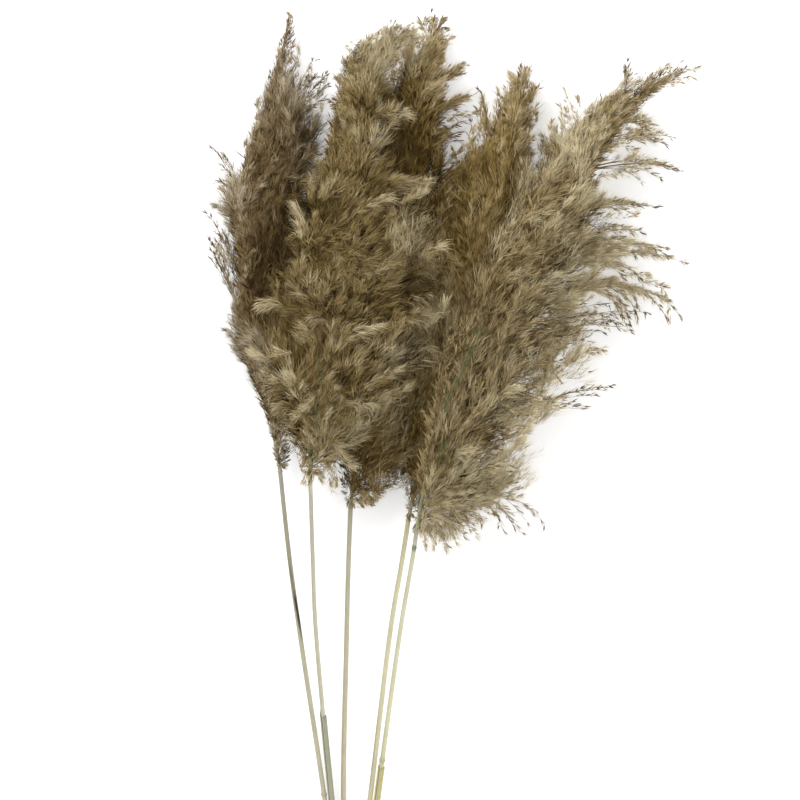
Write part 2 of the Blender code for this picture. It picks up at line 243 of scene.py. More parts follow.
# Hairs, husks, bracts and green strands
BLADE_CORNERS = np.array(((0, 1, 2),))
KITE_CORNERS = np.array(((0, 1, 3), (1, 2, 3)))
UV_ROOT = 0.02
UV_MIDDLE = 0.5
UV_TIP = 0.98
UV_HALF_WIDTH = 0.008
HUSK_SHADE = 0.07
GREEN_SHADE = 0.99
LIGHTEST_SHADE = 0.96
DARKEST_SHADE = 0.18
TUFT_END = 6.0
HAIR_ROOTS = 0.92
HAIR_LEAN = (3, 36)
HAIR_LENGTHS = (0.6, 1.3)
HAIR_WIDTHS = (0.7, 1.3)
HAIR_SPREAD = 1.3
HAIR_SHORTENING = 0.25
HAIR_CURL = 0.28
HAIR_BOW = (0.02, 0.14)
HAIR_MIDDLE = 0.52
HAIR_SHADE_SPREAD = 0.055
HAIR_ROUNDING = 0.5
HAIR_TILT = 0.22
HAIR_TURN = 0.45
HUSK_LEAN = (6, 30)
HUSK_LENGTHS = (0.7, 1.2)
HUSK_WIDTH = 0.17
HUSK_MIDDLE = 0.4
HUSK_LOWEST = 0.1
HUSK_TILT = 0.3
HUSK_TURN = 0.6
HUSK_WIDTHS = (0.8, 1.2)
HUSK_SHADE_SPREAD = 0.03
BRACT_START = 0.09
BRACT_END = 0.92
BRACT_LENGTHS = (12.0, 19.0)
BRACT_WIDTHS = (1.6, 2.6)
BRACT_LEAN = (5, 45)
BRACT_DEPTHS = (0.02, 0.74)
BRACT_TIP = 0.22
BRACT_LIMITS = (0.3, 1.3)
BRACT_REACH = 30.0
BRACT_SMALLEST = 0.25
BRACT_ROOTS = (0.5, 0.95)
BRACT_SHADE_SPREAD = 0.08
BRACT_TURN = 0.4
GREEN_LENGTHS = (7.0, 15.0)
GREEN_WIDTHS = (0.35, 0.70)
GREEN_LEAN = (1, 14)
GREEN_ROOTS = (-0.2, 0.8)
GREEN_SPREAD = 1.5
GREEN_HEIGHTS = (-2.0, 1.5)
GREEN_TILT = 0.3
GREEN_BOW = 0.06
GREEN_TURN = 0.4

# Stems, stalks and sheaths
STEM_RADIUS = 2.1
STEM_TOP_GIRTH = 0.86
STEM_TUCK = 0.3
STEM_SIDES = 20
STEM_RINGS = 150
STEM_SAMPLES = 50
NODE_SWELL = 1.32
NODE_LENGTH = 2.4
NODE_RINGS = np.linspace(-4, 4, 15)
NODE_COLOUR = np.array((0.36, 0.30, 0.16))
NODE_COLOUR_RUN = 0.006
NODE_COLOUR_AMOUNT = 0.6
NODE_SHARPNESS = 2.0
RIB_DEPTH = 0.022
HOLLOW_SHARE = 0.58
HOLLOW_DEPTH = 4.0
HOLLOW_COLOUR = (0.30, 0.24, 0.13)
COLOURS_END = 0.75
STRAW_DEPTH = 0.70
# How much darker the painted shade makes one side of a culm
PAINTED_SIDE_SHADE = 0.18
ALL_ROUND = 9.0
MARK_SHARPNESS = 2.4
MARK_WAVES = (83, 310)
MARK_EVEN = 0.35
STALK_RINGS = 60
STALK_END = 0.97
STALK_SIDES = 8
STALK_RADII = (1.7, 0.5)
STALK_RISE_END = 0.5
STRAW_RUN = 0.30
BRANCH_RINGS = 9
BRANCH_SIDES = 4
BRANCH_RADII = (0.45, 0.16)
SHEATH_SIDES = 28
SHEATH_STEPS = 36
SHEATH_WRAP = math.radians(318)
SHEATH_FRONT = math.radians(250)
SHEATH_ROOM = 0.45
SHEATH_WALL = 0.45
SHEATH_END = 0.993
SHEATH_RIB = 0.05
TEAR_STEPS = 7
TEAR_PLACE = 0.9
TEAR_WIDTH = 0.55
TEAR_NOTCH = 0.6
TEAR_NOTCHES = 9


@dataclass
class Plume:
    """One seed head. Shares run from 0 at its foot to 1 at its tip.

    spine: rows of x, y, z, then the reach left, right, up and down.
    sprays: the long loose side branches, each a share for its root, and its tip.
    spray_looks: for each of those, how fluffy it is and how far it bends forward.
    curls, tufts: single brushes on the face and at the rim, from a start x, y to an end x, y.
    rim: a share, then how much farther than the solid the fluff reaches left and right.
    spots: x, y, radius, and how much lighter the fluff is there; the dark ones are partly painted shadow
    where one plume lies against another, the rest the fluff's own lighter and darker tone.
    greens: strands along the stalk, from a start x, y to an end x, y, and their number.
    bare_stalk: runs of shares where the fluff parts over the stalk, by parting to each side.
    tone: how much lighter the fluff is at each of TONE_SHARES.
    """
    name: str
    locks: int
    seed: int
    layer: str
    sag: float
    curl: float
    openness: float
    sweep: float
    droop: float
    triangles: int
    tone: tuple
    spine: tuple
    sprays: tuple
    curls: tuple = ()
    tufts: tuple = ()
    spray_looks: tuple = ()
    rim: tuple = ((0.0, 0, 0), (1.0, 0, 0))
    spots: tuple = ()
    tip_thinness: float = 0.5
    greens: tuple = ()
    bare_stalk: tuple = ()
    parting: float = 0.0
    stalk_rise: float = 0.0
    foot_hair: float = 0.45


PLUMES = (
    Plume(
        name="plume_1", locks=25, seed=11, layer="low", sag=0.0, curl=0.35, openness=0.45,
        sweep=1.0, droop=0.6, triangles=190000, tone=(0.07, 0.01, -0.04, 0.06), tip_thinness=1.0,
        spine=(
            (-158, -15, 24, 2, 8, 5, 5), (-166, 41, 28, 7, 22, 16, 18), (-176, 101, 31, 22, 38, 24, 28),
            (-181, 165, 33, 28, 48, 25, 33), (-178, 233, 33, 30, 48, 25, 33),
            (-169, 297, 30, 23, 40, 22, 30), (-157, 357, 24, 10, 24, 15, 20),
            (-148, 405, 15, 2, 4, 4, 5),
        ),
        sprays=(
            (0.62, (-114, 342, 36)), (0.66, (-127, 353, 28)), (0.50, (-218, 275, 28)),
            (0.32, (-222, 214, 22)), (0.20, (-219, 188, 30)),
        ),
        spray_looks=((0.45, 0.0), (0.4, 0.0), (0.5, 0.0), (0.4, 0.0), (0.3, 0.0)),
        tufts=(
            (-138, 305, -113, 338), (-140, 316, -127, 350), (-147, 330, -139, 368),
            (-148, 350, -146, 402), (-153, 327, -157, 365), (-172, 296, -178, 318),
            (-183, 258, -188, 280), (-192, 222, -200, 244), (-199, 170, -214, 185),
        ),
        rim=(
            (0.0, 0, 0), (0.1, -4, 0), (0.18, -1, 0), (0.26, 2, 0), (0.32, 0, 0), (0.38, -12, 0),
            (0.47, -13, 0), (0.55, 3, 0), (0.6, -11, 2), (0.67, -14, 10), (0.72, -14, 10),
            (0.77, -15, -5), (0.82, -17, -12), (0.92, -15, -14), (1.0, -4, -3),
        ),
        spots=(
            (-149, 197, 36, -0.26), (-116, 279, 18, -0.3), (-169, 143, 29, -0.52), (-203, 194, 16, 0.34),
            (-131, 327, 22, 0.46), (-183, 91, 18, 0.16), (-156, 10, 18, 0.36), (-196, 240, 18, 0.46),
            (-196, 136, 16, 0.44), (-152, 170, 23, -0.44), (-169, 235, 16, -0.24), (-135, 215, 18, -0.4),
            (-197, 104, 14, 0.3), (-197, 165, 14, 0.34), (-178, 82, 13, 0.1), (-158, 190, 16, 0.04),
            (-138, 136, 16, 0.16), (-183, 300, 14, 0.24), (-140, 161, 18, -0.26), (-152, 36, 13, -0.45),
            (-160, 307, 14, -0.18), (-187, 278, 13, 0.2), (-172, 201, 13, 0.16), (-174, 131, 13, -0.3),
            (-158, 161, 12, -0.25), (-134, 306, 14, 0.2),
        ),
    ),
    Plume(
        name="plume_2", locks=27, seed=23, layer="high", sag=0.06, curl=0.75, openness=0.25,
        sweep=0.7, droop=0.6, triangles=197000, tone=(0.02, 0.0, -0.03, 0.07), tip_thinness=0.35,
        greens=(
            (-119, 86, -118, 64, 22), (-125, 38, -125, 22, 16), (-128, 10, -128, -8, 18),
        ),
        spine=(
            (-129, -21, 58, 3, 9, 5, 4), (-126, 28, 68, 26, 60, 24, 10), (-119, 91, 82, 50, 84, 32, 18),
            (-112, 157, 86, 48, 90, 34, 22), (-103, 224, 84, 40, 80, 32, 20),
            (-92, 286, 76, 27, 44, 25, 14), (-82, 333, 66, 20, 22, 18, 14),
            (-62, 363, 56, 13, 14, 12, 10), (-34, 375, 48, 2, 4, 4, 4),
        ),
        sprays=(
            (0.50, (-22, 240, 92)), (0.64, (-42, 303, 84)),
        ),
        curls=(
            (-150, 131, -174, 132), (-137, 89, -180, 85), (-126, 57, -148, 67), (-106, 95, -64, 113),
            (-106, 42, -70, 44), (-73, 42, -37, 59), (-121, 53, -139, 30), (-28, 110, -5, 133),
            (-109, 12, -91, -15), (-135, 187, -139, 220), (-79, 215, -55, 226), (-48, 219, -20, 239),
            (-32, 169, -9, 187), (-62, 288, -41, 302),
        ),
        tufts=(
            (-91, 336, -93, 365), (-82, 350, -73, 376), (-66, 361, -50, 383), (-59, 365, -34, 379),
            (-122, -4, -119, -28), (-111, -6, -110, -38), (-113, -4, -104, -30), (-134, -1, -134, -32),
            (-130, -1, -127, -30),
        ),
        rim=(
            (0.0, 6, 4), (0.06, 4, -8), (0.12, 2, -6), (0.2, 0, 0), (0.29, 0, 0), (0.36, -12, 0),
            (0.44, -17, 0), (0.48, -15, -2), (0.53, -12, -20), (0.57, -10, -32), (0.62, -8, -15),
            (0.68, -7, -3), (0.76, -2, 2), (0.84, 7, 4), (1.0, 8, 0),
        ),
        spots=(
            (-47, 194, 23, 0.3), (-68, 34, 22, 0.46), (-143, 114, 23, -0.5), (-134, 212, 23, -0.56),
            (-120, 276, 18, -0.64), (-135, 140, 13, 0.34), (-54, 361, 22, 0.5), (-82, 366, 18, 0.36),
            (-73, 278, 18, 0.34), (-62, 239, 23, -0.56), (-77, 197, 14, -0.38), (-49, 61, 14, -1.1),
            (-73, 52, 10, -0.35), (-100, 8, 16, 0.5), (-32, 158, 18, -0.2), (-44, 125, 18, -0.44),
            (-97, 57, 20, -0.28), (-132, 46, 14, 0.4), (-87, -12, 13, -0.7), (-132, 5, 14, 0.1),
            (-106, 161, 13, -0.22), (-26, 112, 18, 0.5), (-57, 79, 15, 0.66), (-104, 86, 14, 0.28),
            (-109, 233, 16, 0.26), (-55, 309, 16, -0.6), (-79, 136, 13, -0.2), (-158, 122, 13, -0.24),
            (-34, 179, 13, 0.3), (-73, 352, 14, -0.1), (-138, 163, 18, -0.4), (-98, 24, 11, -0.2),
            (-120, 244, 11, -0.24), (-106, -17, 13, 0.24), (-91, 125, 11, 0.16), (-21, 136, 13, -0.2),
            (-61, 343, 16, 0.4), (-131, 72, 14, -0.35), (-82, 94, 11, -0.25), (-57, 104, 11, -0.3),
            (-57, 42, 10, 0.3), (-48, 243, 14, -0.4), (-74, 68, 9, 0.2),
        ),
    ),
    Plume(
        name="plume_3", locks=23, seed=37, layer="low", sag=0.0, curl=0.45, openness=0.30,
        sweep=1.0, droop=1.2, triangles=196000, tone=(0.0, -0.01, -0.01, 0.05),
        spine=(
            (-93, -50, 26, 4, 36, 6, 8), (-86, 10, 32, 20, 58, 20, 28), (-74, 78, 34, 34, 52, 23, 34),
            (-62, 142, 35, 34, 54, 23, 35), (-49, 210, 35, 34, 54, 23, 35),
            (-37, 274, 34, 32, 47, 23, 34), (-26, 329, 31, 24, 34, 19, 28),
            (-17, 370, 27, 18, 19, 14, 18), (-9, 398, 22, 3, 5, 4, 5),
        ),
        sprays=(
            (0.66, (14, 322, 40)), (0.74, (10, 349, 34)), (0.56, (14, 306, 30)),
        ),
        spray_looks=((0.8, 0.0), (0.8, 0.0), (0.3, 0.0)),
        tufts=(
            (-61, 312, -68, 343), (-51, 312, -54, 345), (-39, 334, -41, 366), (-32, 350, -37, 384),
            (-26, 361, -29, 393), (-19, 363, -16, 395), (-7, 334, 10, 353), (-5, 312, 15, 322),
            (-8, 298, 22, 310), (-16, 354, -1, 379), (-82, -33, -80, -46), (-73, -31, -69, -43),
        ),
        rim=(
            (0.0, -1, -20), (0.03, 0, -12), (0.06, 0, 0), (0.1, 0, 12), (0.2, 0, 12), (0.3, 0, 4),
            (0.42, 0, 0), (0.5, 0, 2), (0.56, 0, 0), (0.62, 2, -12), (0.66, 6, -19), (0.72, 9, -18),
            (0.85, 9, -14), (1.0, 4, -4),
        ),
        spots=(
            (-46, 244, 29, -0.58), (-72, 212, 13, -0.18), (-7, 323, 20, 0.46), (-53, 309, 16, -0.5),
            (-40, 309, 18, -0.4), (-55, 32, 18, 0.3), (-37, 366, 20, 0.3), (-59, -17, 18, 0.2),
            (-10, 262, 20, -0.2), (-46, 346, 18, 0.5), (-34, 104, 16, 0.44), (-5, 300, 11, -0.24),
            (-84, -44, 11, 0.24), (-82, -15, 14, -0.36), (-48, -15, 11, -0.24), (-28, 242, 16, -0.45),
            (-9, 356, 11, -0.22), (-12, 372, 14, 0.35), (-7, 340, 12, 0.25),
        ),
    ),
    Plume(
        name="plume_4", locks=23, seed=41, layer="low", sag=0.0, curl=0.35, openness=0.40,
        sweep=1.0, droop=0.5, triangles=190000, tone=(0.0, 0.0, 0.02, 0.05),
        spine=(
            (-40, -61, 30, 3, 4, 4, 5), (-27, 1, 34, 16, 18, 18, 26), (-10, 65, 36, 36, 28, 22, 36),
            (7, 128, 36, 46, 32, 22, 36), (24, 192, 36, 48, 33, 22, 36), (39, 247, 35, 46, 30, 22, 35),
            (51, 292, 32, 38, 18, 17, 27), (59, 324, 28, 22, 14, 12, 16), (67, 353, 24, 3, 4, 4, 5),
        ),
        sprays=(
            (0.60, (26, 324, 40)), (0.50, (17, 297, 30)), (0.44, (1, 272, 44)),
        ),
        spray_looks=((0.4, 0.0), (0.2, 0.0), (0.15, 0.0)),
        tufts=(
            (22, 278, 29, 327), (35, 291, 43, 330), (28, 282, 24, 316), (14, 269, 18, 293),
            (55, 323, 54, 345), (64, 327, 67, 347), (70, 316, 75, 332), (70, 291, 77, 309),
        ),
        rim=(
            (0.0, -2, 2), (0.06, 2, 4), (0.12, 8, 6), (0.3, 0, 0), (0.55, -2, 0), (0.62, -9, 0),
            (0.68, -22, 1), (0.73, -27, 0), (0.8, -20, 2), (0.9, -11, 3), (1.0, 0, 2),
        ),
        spots=(
            (11, 212, 22, -0.24), (15, 260, 25, -0.4), (53, 244, 18, 0.12), (-5, 118, 20, 0.56),
            (70, 300, 18, 0.5), (29, 305, 16, 0.58), (-3, 199, 18, -0.26), (-37, -17, 20, -0.5),
            (-28, 20, 16, -0.4), (69, 271, 13, 0.4), (54, 329, 11, 0.2), (20, 170, 16, -0.14),
            (-26, 111, 14, 0.4), (-22, 131, 14, -0.35),
        ),
    ),
    Plume(
        name="plume_5", locks=29, seed=53, layer="high", sag=0.34, curl=0.40, openness=0.50,
        sweep=0.9, droop=2.2, triangles=197000, tone=(0.10, 0.02, 0.04, 0.06), tip_thinness=0.35,
        bare_stalk=((0.0, 0.11),), parting=2.4, stalk_rise=0.66, foot_hair=0.9,
        greens=(
            (-29, -58, -19, -6, 60), (-12, -8, -9, 8, 40), (-10, 36, -5, 52, 40), (2, 58, 15, 92, 60),
            (9, 80, 22, 108, 24),
        ),
        spine=(
            (-33, -71, 56, 8, 48, 7, 6), (-23, -17, 68, 16, 82, 24, 11), (-6, 46, 78, 26, 90, 32, 17),
            (18, 100, 82, 32, 92, 34, 20), (48, 154, 80, 32, 86, 33, 24), (83, 211, 68, 34, 62, 29, 26),
            (117, 262, 54, 34, 44, 24, 26), (146, 301, 43, 30, 30, 18, 22),
            (177, 326, 35, 14, 15, 12, 15), (218, 353, 26, 2, 4, 4, 5),
        ),
        sprays=(
            (0.76, (181, 297, 36)), (0.70, (199, 286, 28)), (0.64, (207, 256, 24)),
            (0.54, (187, 222, 26)), (0.47, (171, 200, 38)), (0.44, (211, 171, 24)),
            (0.36, (209, 123, 13)), (0.30, (178, 126, 22)), (0.24, (144, 118, 34)),
            (0.12, (146, 59, 30)), (0.02, (84, -67, 34)), (0.80, (156, 351, 50)),
        ),
        spray_looks=(
            (0.9, 0.0), (0.9, 0.0), (0.8, 0.0), (0.8, 0.0), (1.3, 0.02), (1.8, 0.06),
            (1.7, 0.20), (0.5, 0.0), (0.8, 0.0), (0.3, 0.0), (0.9, 0.30), (0.35, 0.0),
        ),
        curls=(
            (-1, -6, 17, 5), (39, 48, 56, 59), (22, -22, 42, -10),
        ),
        tufts=(
            (100, 284, 103, 327), (107, 287, 114, 322), (114, 287, 125, 314), (125, 291, 142, 325),
            (96, 278, 98, 312), (105, 280, 109, 312), (92, 271, 86, 300), (146, 307, 155, 338),
            (172, 327, 199, 356), (182, 330, 226, 352), (185, 327, 222, 343), (152, 299, 177, 302),
            (154, 292, 179, 292), (28, -30, 63, -26), (28, -33, 69, -35), (24, -31, 65, -44),
            (-26, -48, -26, -89), (-21, -44, -16, -91), (-16, -48, -5, -91), (-10, -44, 4, -88),
            (-3, -44, 13, -84), (3, -42, 22, -80), (10, -40, 29, -72), (15, -35, 37, -60),
            (-21, -30, -11, -76), (-8, -30, 10, -71), (-26, -30, -27, -69), (-1, -26, 22, -58),
            (42, 42, 78, 28), (37, 33, 73, 14), (150, 158, 179, 161), (168, 159, 196, 147),
            (190, 150, 200, 114), (159, 181, 190, 182), (118, 89, 137, 91), (132, 213, 172, 214),
            (132, 273, 163, 280), (136, 269, 168, 275), (128, 246, 159, 251), (132, 203, 168, 197),
        ),
        rim=(
            (0.0, -7, -12), (0.04, -8, -15), (0.07, -10, -8), (0.12, -12, 10), (0.18, -14, -6),
            (0.26, -13, 0), (0.33, -11, 4), (0.38, -8, 12), (0.41, -6, 14), (0.44, -5, -4),
            (0.47, -5, -12), (0.52, -4, -6), (0.56, 0, 4), (0.6, 2, -3), (0.63, 2, -24), (0.66, 1, -33),
            (0.72, -9, -27), (0.8, -8, -24), (0.84, -2, -18), (0.88, 2, -12), (1.0, 7, 0),
        ),
        spots=(
            (22, 130, 22, -0.4), (-14, 89, 18, -0.44), (-30, 39, 20, -0.7), (-34, -4, 20, -0.8),
            (19, 23, 20, -0.36), (105, 147, 31, 0.32), (82, 208, 22, 0.24), (118, 280, 29, 0.44),
            (35, -32, 28, 0.6), (12, -12, 18, 0.34), (46, 39, 25, 0.6), (69, 82, 14, 0.34),
            (89, 145, 18, 0.44), (134, 200, 21, -0.7), (92, 246, 20, -0.1), (100, 75, 25, 0.4),
            (42, 17, 20, 0.1), (78, 178, 16, -0.5), (56, 53, 13, -0.4), (-39, -44, 16, -0.2),
            (69, 258, 13, -0.26), (78, 42, 16, 0.65), (60, -4, 16, 0.44), (2, 96, 14, -0.18),
            (161, 323, 20, -0.2), (42, 10, 11, -0.3), (121, 233, 20, 0.5), (110, 98, 13, -0.2),
            (20, 6, 11, -0.5), (6, -10, 11, 0.34), (150, 296, 18, 0.4), (46, -26, 16, 0.34),
            (-16, -6, 11, -0.2), (24, 181, 14, -0.2), (132, 150, 20, 0.44), (67, 100, 13, -0.24),
            (87, 276, 13, -0.3), (105, 266, 13, 0.34), (-5, 28, 13, 0.3), (-23, -66, 13, 0.1),
            (12, -62, 14, -0.25), (62, 226, 14, -0.24), (49, 170, 11, -0.2), (-6, 68, 16, -0.3),
            (146, 262, 12, -0.3), (91, 266, 10, -0.25), (4, 52, 27, -0.1),
        ),
    ),
)


@dataclass
class Stem:
    """A culm: its route down from its plume, the nodes along that, its girth and its linear colours."""
    name: str
    route: tuple
    nodes: tuple
    girth: float
    colours: tuple


STEMS = (
    Stem(
        "stem_1", ((-149, -100, 19), (-139, -174, 14.5), (-117.5, -320, 6), (-108, -406, 2.5)),
        (0.02, 0.743), 1.06,
        ((0.50, 0.48, 0.37), (0.41, 0.38, 0.26), (0.62, 0.58, 0.40), (0.72, 0.68, 0.50)),
    ),
    Stem(
        "stem_2", ((-127, -99, 44), (-124, -173, 31), (-111, -320, 11), (-101.5, -398, 3.3)),
        (0.03,), 0.97,
        ((0.56, 0.54, 0.42), (0.64, 0.61, 0.45), (0.70, 0.67, 0.50)),
    ),
    Stem(
        "stem_3", ((-95, -100, 22), (-97, -174, 16), (-100, -320, 6), (-94.5, -411, 2.4)),
        (0.02,), 1.14,
        ((0.48, 0.45, 0.32), (0.58, 0.54, 0.38), (0.66, 0.60, 0.42)),
    ),
    Stem(
        "stem_4", ((-46, -100, 26), (-58, -174, 18), (-75.5, -320, 6.5), (-87, -394, 2.4)),
        (0.03,), 1.14,
        ((0.66, 0.62, 0.38), (0.80, 0.76, 0.50), (0.86, 0.82, 0.58)),
    ),
    Stem(
        "stem_5", ((-37, -99, 50), (-49, -172, 36), (-69, -320, 12.5), (-80, -405, 3.4)),
        (0.18, 0.684), 1.04,
        ((0.58, 0.56, 0.44), (0.78, 0.75, 0.54), (0.80, 0.77, 0.50)),
    ),
)


@dataclass
class Mark:
    """A streak down a culm: where it runs and fades, its turn round the culm, and its linear colour."""
    stem: str
    start: float
    end: float
    fade: float
    turn: float
    turn_end: float
    width: float
    ragged: float
    amount: float
    colour: tuple


MARKS = (
    # The dark split, a wide brown streak with a narrow one in it
    Mark("stem_1", 0.24, 0.54, 0.05, 1.2, 2.6, 0.8, 0.2, 0.8, (0.070, 0.050, 0.030)),
    Mark("stem_1", 0.35, 0.50, 0.04, 1.7, 2.4, 1.1, 0.1, 1.0, (0.015, 0.010, 0.006)),
    Mark("stem_1", 0.00, 0.07, 0.03, 0.6, 0.6, 1.0, 0.2, 0.5, (0.25, 0.27, 0.19)),
    Mark("stem_2", 0.00, 0.08, 0.03, 1.9, 1.9, 0.9, 0.0, 0.8, (0.80, 0.78, 0.66)),
    Mark("stem_3", 0.00, 0.05, 0.02, 1.6, 1.6, 1.1, 0.2, 0.6, (0.28, 0.22, 0.13)),
    Mark("stem_4", 0.60, 0.75, 0.04, 0.3, 0.3, 1.2, 0.3, 0.7, (0.27, 0.22, 0.09)),
    Mark("stem_4", 0.10, 0.45, 0.05, 0.4, 0.9, 0.7, 0.4, 0.4, (0.36, 0.30, 0.16)),
    # The grey green knot
    Mark("stem_5", 0.155, 0.205, 0.012, 0.0, 0.0, ALL_ROUND, 0.0, 0.9, (0.17, 0.19, 0.13)),
    Mark("stem_5", 0.00, 0.15, 0.04, 1.2, 1.5, 0.6, 0.2, 0.6, (0.20, 0.22, 0.13)),
)


def unit(rows):
    """Rows of vectors, each scaled to a length of one."""
    return rows / np.maximum(np.linalg.norm(rows, axis=-1, keepdims=True), SHORTEST)


def dot(a, b):
    """The dot product of each row of two arrays, kept as a column."""
    return np.sum(a * b, axis=-1, keepdims=True)


def ramped(value, start, run):
    """0 up to start, 1 from start plus run on, and even between them."""
    return np.clip((value - start) / run, 0, 1)


def blend_rows(rows, share):
    """A smooth curve through rows of numbers, at many shares from 0 to 1 of its run."""
    rows = np.asarray(rows, float)
    last = len(rows) - 1
    place = np.clip(np.atleast_1d(share), 0.0, 1.0) * last
    cell = np.minimum(place.astype(int), last - 1)
    u = (place - cell)[:, None]
    a = rows[np.maximum(cell - 1, 0)]
    b = rows[cell]
    c = rows[cell + 1]
    d = rows[np.minimum(cell + 2, last)]
    slope_in = (c - a) / 2
    slope_out = (d - b) / 2
    cubic = 2 * b - 2 * c + slope_in + slope_out
    square = -3 * b + 3 * c - 2 * slope_in - slope_out
    return ((cubic * u + square) * u + slope_in) * u + b


def spine_frames(plume, share):
    """The points on the spine, the directions along, right and up there, and the reach each way."""
    share = np.atleast_1d(share)
    rows = blend_rows(plume.spine, share)
    ahead = blend_rows(plume.spine, share + FRAME_STEP)[:, :3]
    behind = blend_rows(plume.spine, share - FRAME_STEP)[:, :3]
    along = unit(ahead - behind)
    right = unit(np.cross(along, UP))
    return rows[:, :3], along, right, np.cross(right, along), rows[:, 3:]


def branch_paths(plume, share, azimuth, reach_share):
    """The side branches' roots, bends and tips, where azimuth 0 points right."""
    place, _, right, up, reach = spine_frames(plume, share)
    across = np.cos(azimuth)
    rise = np.sin(azimuth)
    sideways = across * side_reach(reach, across) * reach_share
    height = rise * np.where(rise > 0, reach[:, 2], reach[:, 3]) * reach_share
    tip = place + right * sideways[:, None] + up * height[:, None]
    tip[:, 2] -= plume.sag * np.maximum(sideways, 0.0)
    root_share = np.maximum(LOWEST_ROOT + ROOT_RISE * share, share - BRANCH_RUN)
    root, root_along = spine_frames(plume, root_share)[:2]
    run = tip - root
    forward = dot(run, root_along)
    outward = run - root_along * forward
    length = np.linalg.norm(outward, axis=1, keepdims=True)
    bend = root + root_along * (BEND_FORWARD * np.abs(forward) + BEND_LIFT * length)
    return root, bend + outward * BEND_OUTWARD, tip, root_share


def spray_paths(plume):
    """The long loose side branches, which nod over to their tips."""
    root_share = np.array([root for root, tip in plume.sprays])
    tip = np.array([tip for root, tip in plume.sprays], float)
    root, along = spine_frames(plume, root_share)[:2]
    run = tip - root
    length = np.linalg.norm(run, axis=1, keepdims=True)
    bend = root + run * SPRAY_BEND + along * (SPRAY_LIFT * length)
    bend[:, 2] = np.maximum(bend[:, 2], root[:, 2] * (1 - SPRAY_SAG) + tip[:, 2] * SPRAY_SAG)
    return root, bend, tip, root_share


def lock_places(plume):
    """The share along the spine, the azimuth and the reach of each main side branch."""
    draw = random.Random(plume.seed)
    places = []
    for number in range(plume.locks):
        share = FIRST_LOCK + LOCK_SPAN * (number + 0.5) / plume.locks
        azimuth = number * GOLDEN_ANGLE + draw.uniform(-AZIMUTH_JITTER, AZIMUTH_JITTER)
        places.append((share, azimuth, draw.uniform(*LOCK_REACH)))
    return np.array(places).T


def path_point(path, u):
    """The points at shares u of paths that go from a root past a bend to a tip."""
    root, bend, tip = path
    u = u[:, None]
    return root * (1 - u) ** 2 + bend * (2 * u * (1 - u)) + tip * u ** 2


def path_slope(path, u):
    """The directions of such paths at shares u."""
    root, bend, tip = path
    u = u[:, None]
    return unit((bend - root) * (1 - u) + (tip - bend) * u)


def spine_x(plume, y):
    """The x of the plume's spine where it passes y."""
    rows = np.array(plume.spine, float)
    return np.interp(y, rows[:, 1], rows[:, 0])


def settle(plume, points):
    """Keeps a plume's hairs in its own layer and above the surface."""
    points = points.copy()
    x, y, z = points.T
    if plume.layer == "low":
        z = LAYER_HEIGHT - LAYER_SOFTNESS * np.logaddexp(0.0, (LAYER_HEIGHT - z) / LAYER_SOFTNESS)
    else:
        past = ramped(x - spine_x(PLUMES[SHELF_PLUME], y), SHELF_EDGE, SHELF_SLOPE)
        foot = ramped(y, SHELF_FOOT_Y, SHELF_FOOT_RUN)
        shelf = LAYER_HEIGHT * (1 - past * past * (3 - 2 * past)) * foot
        z = shelf + LAYER_SOFTNESS * np.logaddexp(0.0, (z - shelf) / LAYER_SOFTNESS)
        z = CEILING - CEILING_SOFTNESS * np.logaddexp(0.0, (CEILING - z) / CEILING_SOFTNESS)
    points[:, 2] = np.maximum(z, FLOOR_CLEARANCE)
    return points


def patchiness(points, seed, shortest=PATCH_SHORTEST, longest=PATCH_LONGEST):
    """A smooth value from about -1 to 1, the sum of waves between two lengths."""
    draw = np.random.default_rng(seed)
    total = np.zeros(len(points))
    for _ in range(PATCH_WAVES):
        direction = unit(draw.normal(size=3))
        wavelength = draw.uniform(shortest, longest)
        total += np.sin(points @ direction * (2 * math.pi / wavelength) + draw.uniform(0, 2 * math.pi))
    return total / math.sqrt(PATCH_WAVES)


def drift(points, seed):
    """A smooth field of vectors, so that tufts beside each other lie alike."""
    return np.column_stack([patchiness(points, seed * SEED_STEP + part, *DRIFT_WAVES) for part in range(3)])


def scattered(draw, axes, lean):
    """Directions that lean away from their axes by a tangent of lean, and the way each leans."""
    sideways = draw.normal(size=axes.shape)
    sideways = unit(sideways - axes * dot(sideways, axes))
    return unit(axes + sideways * lean[:, None]), sideways


def leans(draw, degrees, count):
    """Tangents of leans drawn between two numbers of degrees."""
    return np.tan(np.radians(draw.uniform(*degrees, count)))


def side_reach(reach, across):
    """The reach to the right where across is above zero, and to the left elsewhere."""
    return np.where(across > 0, reach[:, 1], reach[:, 0])


def outward(plume, points, share):
    """The way out of the plume's rounded body at points near a share of its spine."""
    place, _, right, up, reach = spine_frames(plume, share)
    away = points - place
    sideways = dot(away, right)
    height = dot(away, up)
    wide = np.where(sideways > 0, reach[:, 1:2], reach[:, 0:1])
    tall = np.where(height > 0, reach[:, 2:3], reach[:, 3:4])
    return unit(right * sideways / wide ** 2 + up * height / tall ** 2 + up * SLIGHT_RISE)


def mesh_from(name, points, triangles):
    """A mesh of triangles, from arrays of points in millimetres and of corner numbers."""
    mesh = bpy.data.meshes.new(name)
    mesh.vertices.add(len(points))
    mesh.vertices.foreach_set("co", ((points + SHIFT) * MM).astype(np.float32).ravel())
    mesh.loops.add(triangles.size)
    mesh.loops.foreach_set("vertex_index", triangles.astype(np.int32).ravel())
    mesh.polygons.add(len(triangles))
    mesh.polygons.foreach_set("loop_start", np.arange(0, triangles.size, 3, dtype=np.int32))
    mesh.update(calc_edges=True)
    return mesh


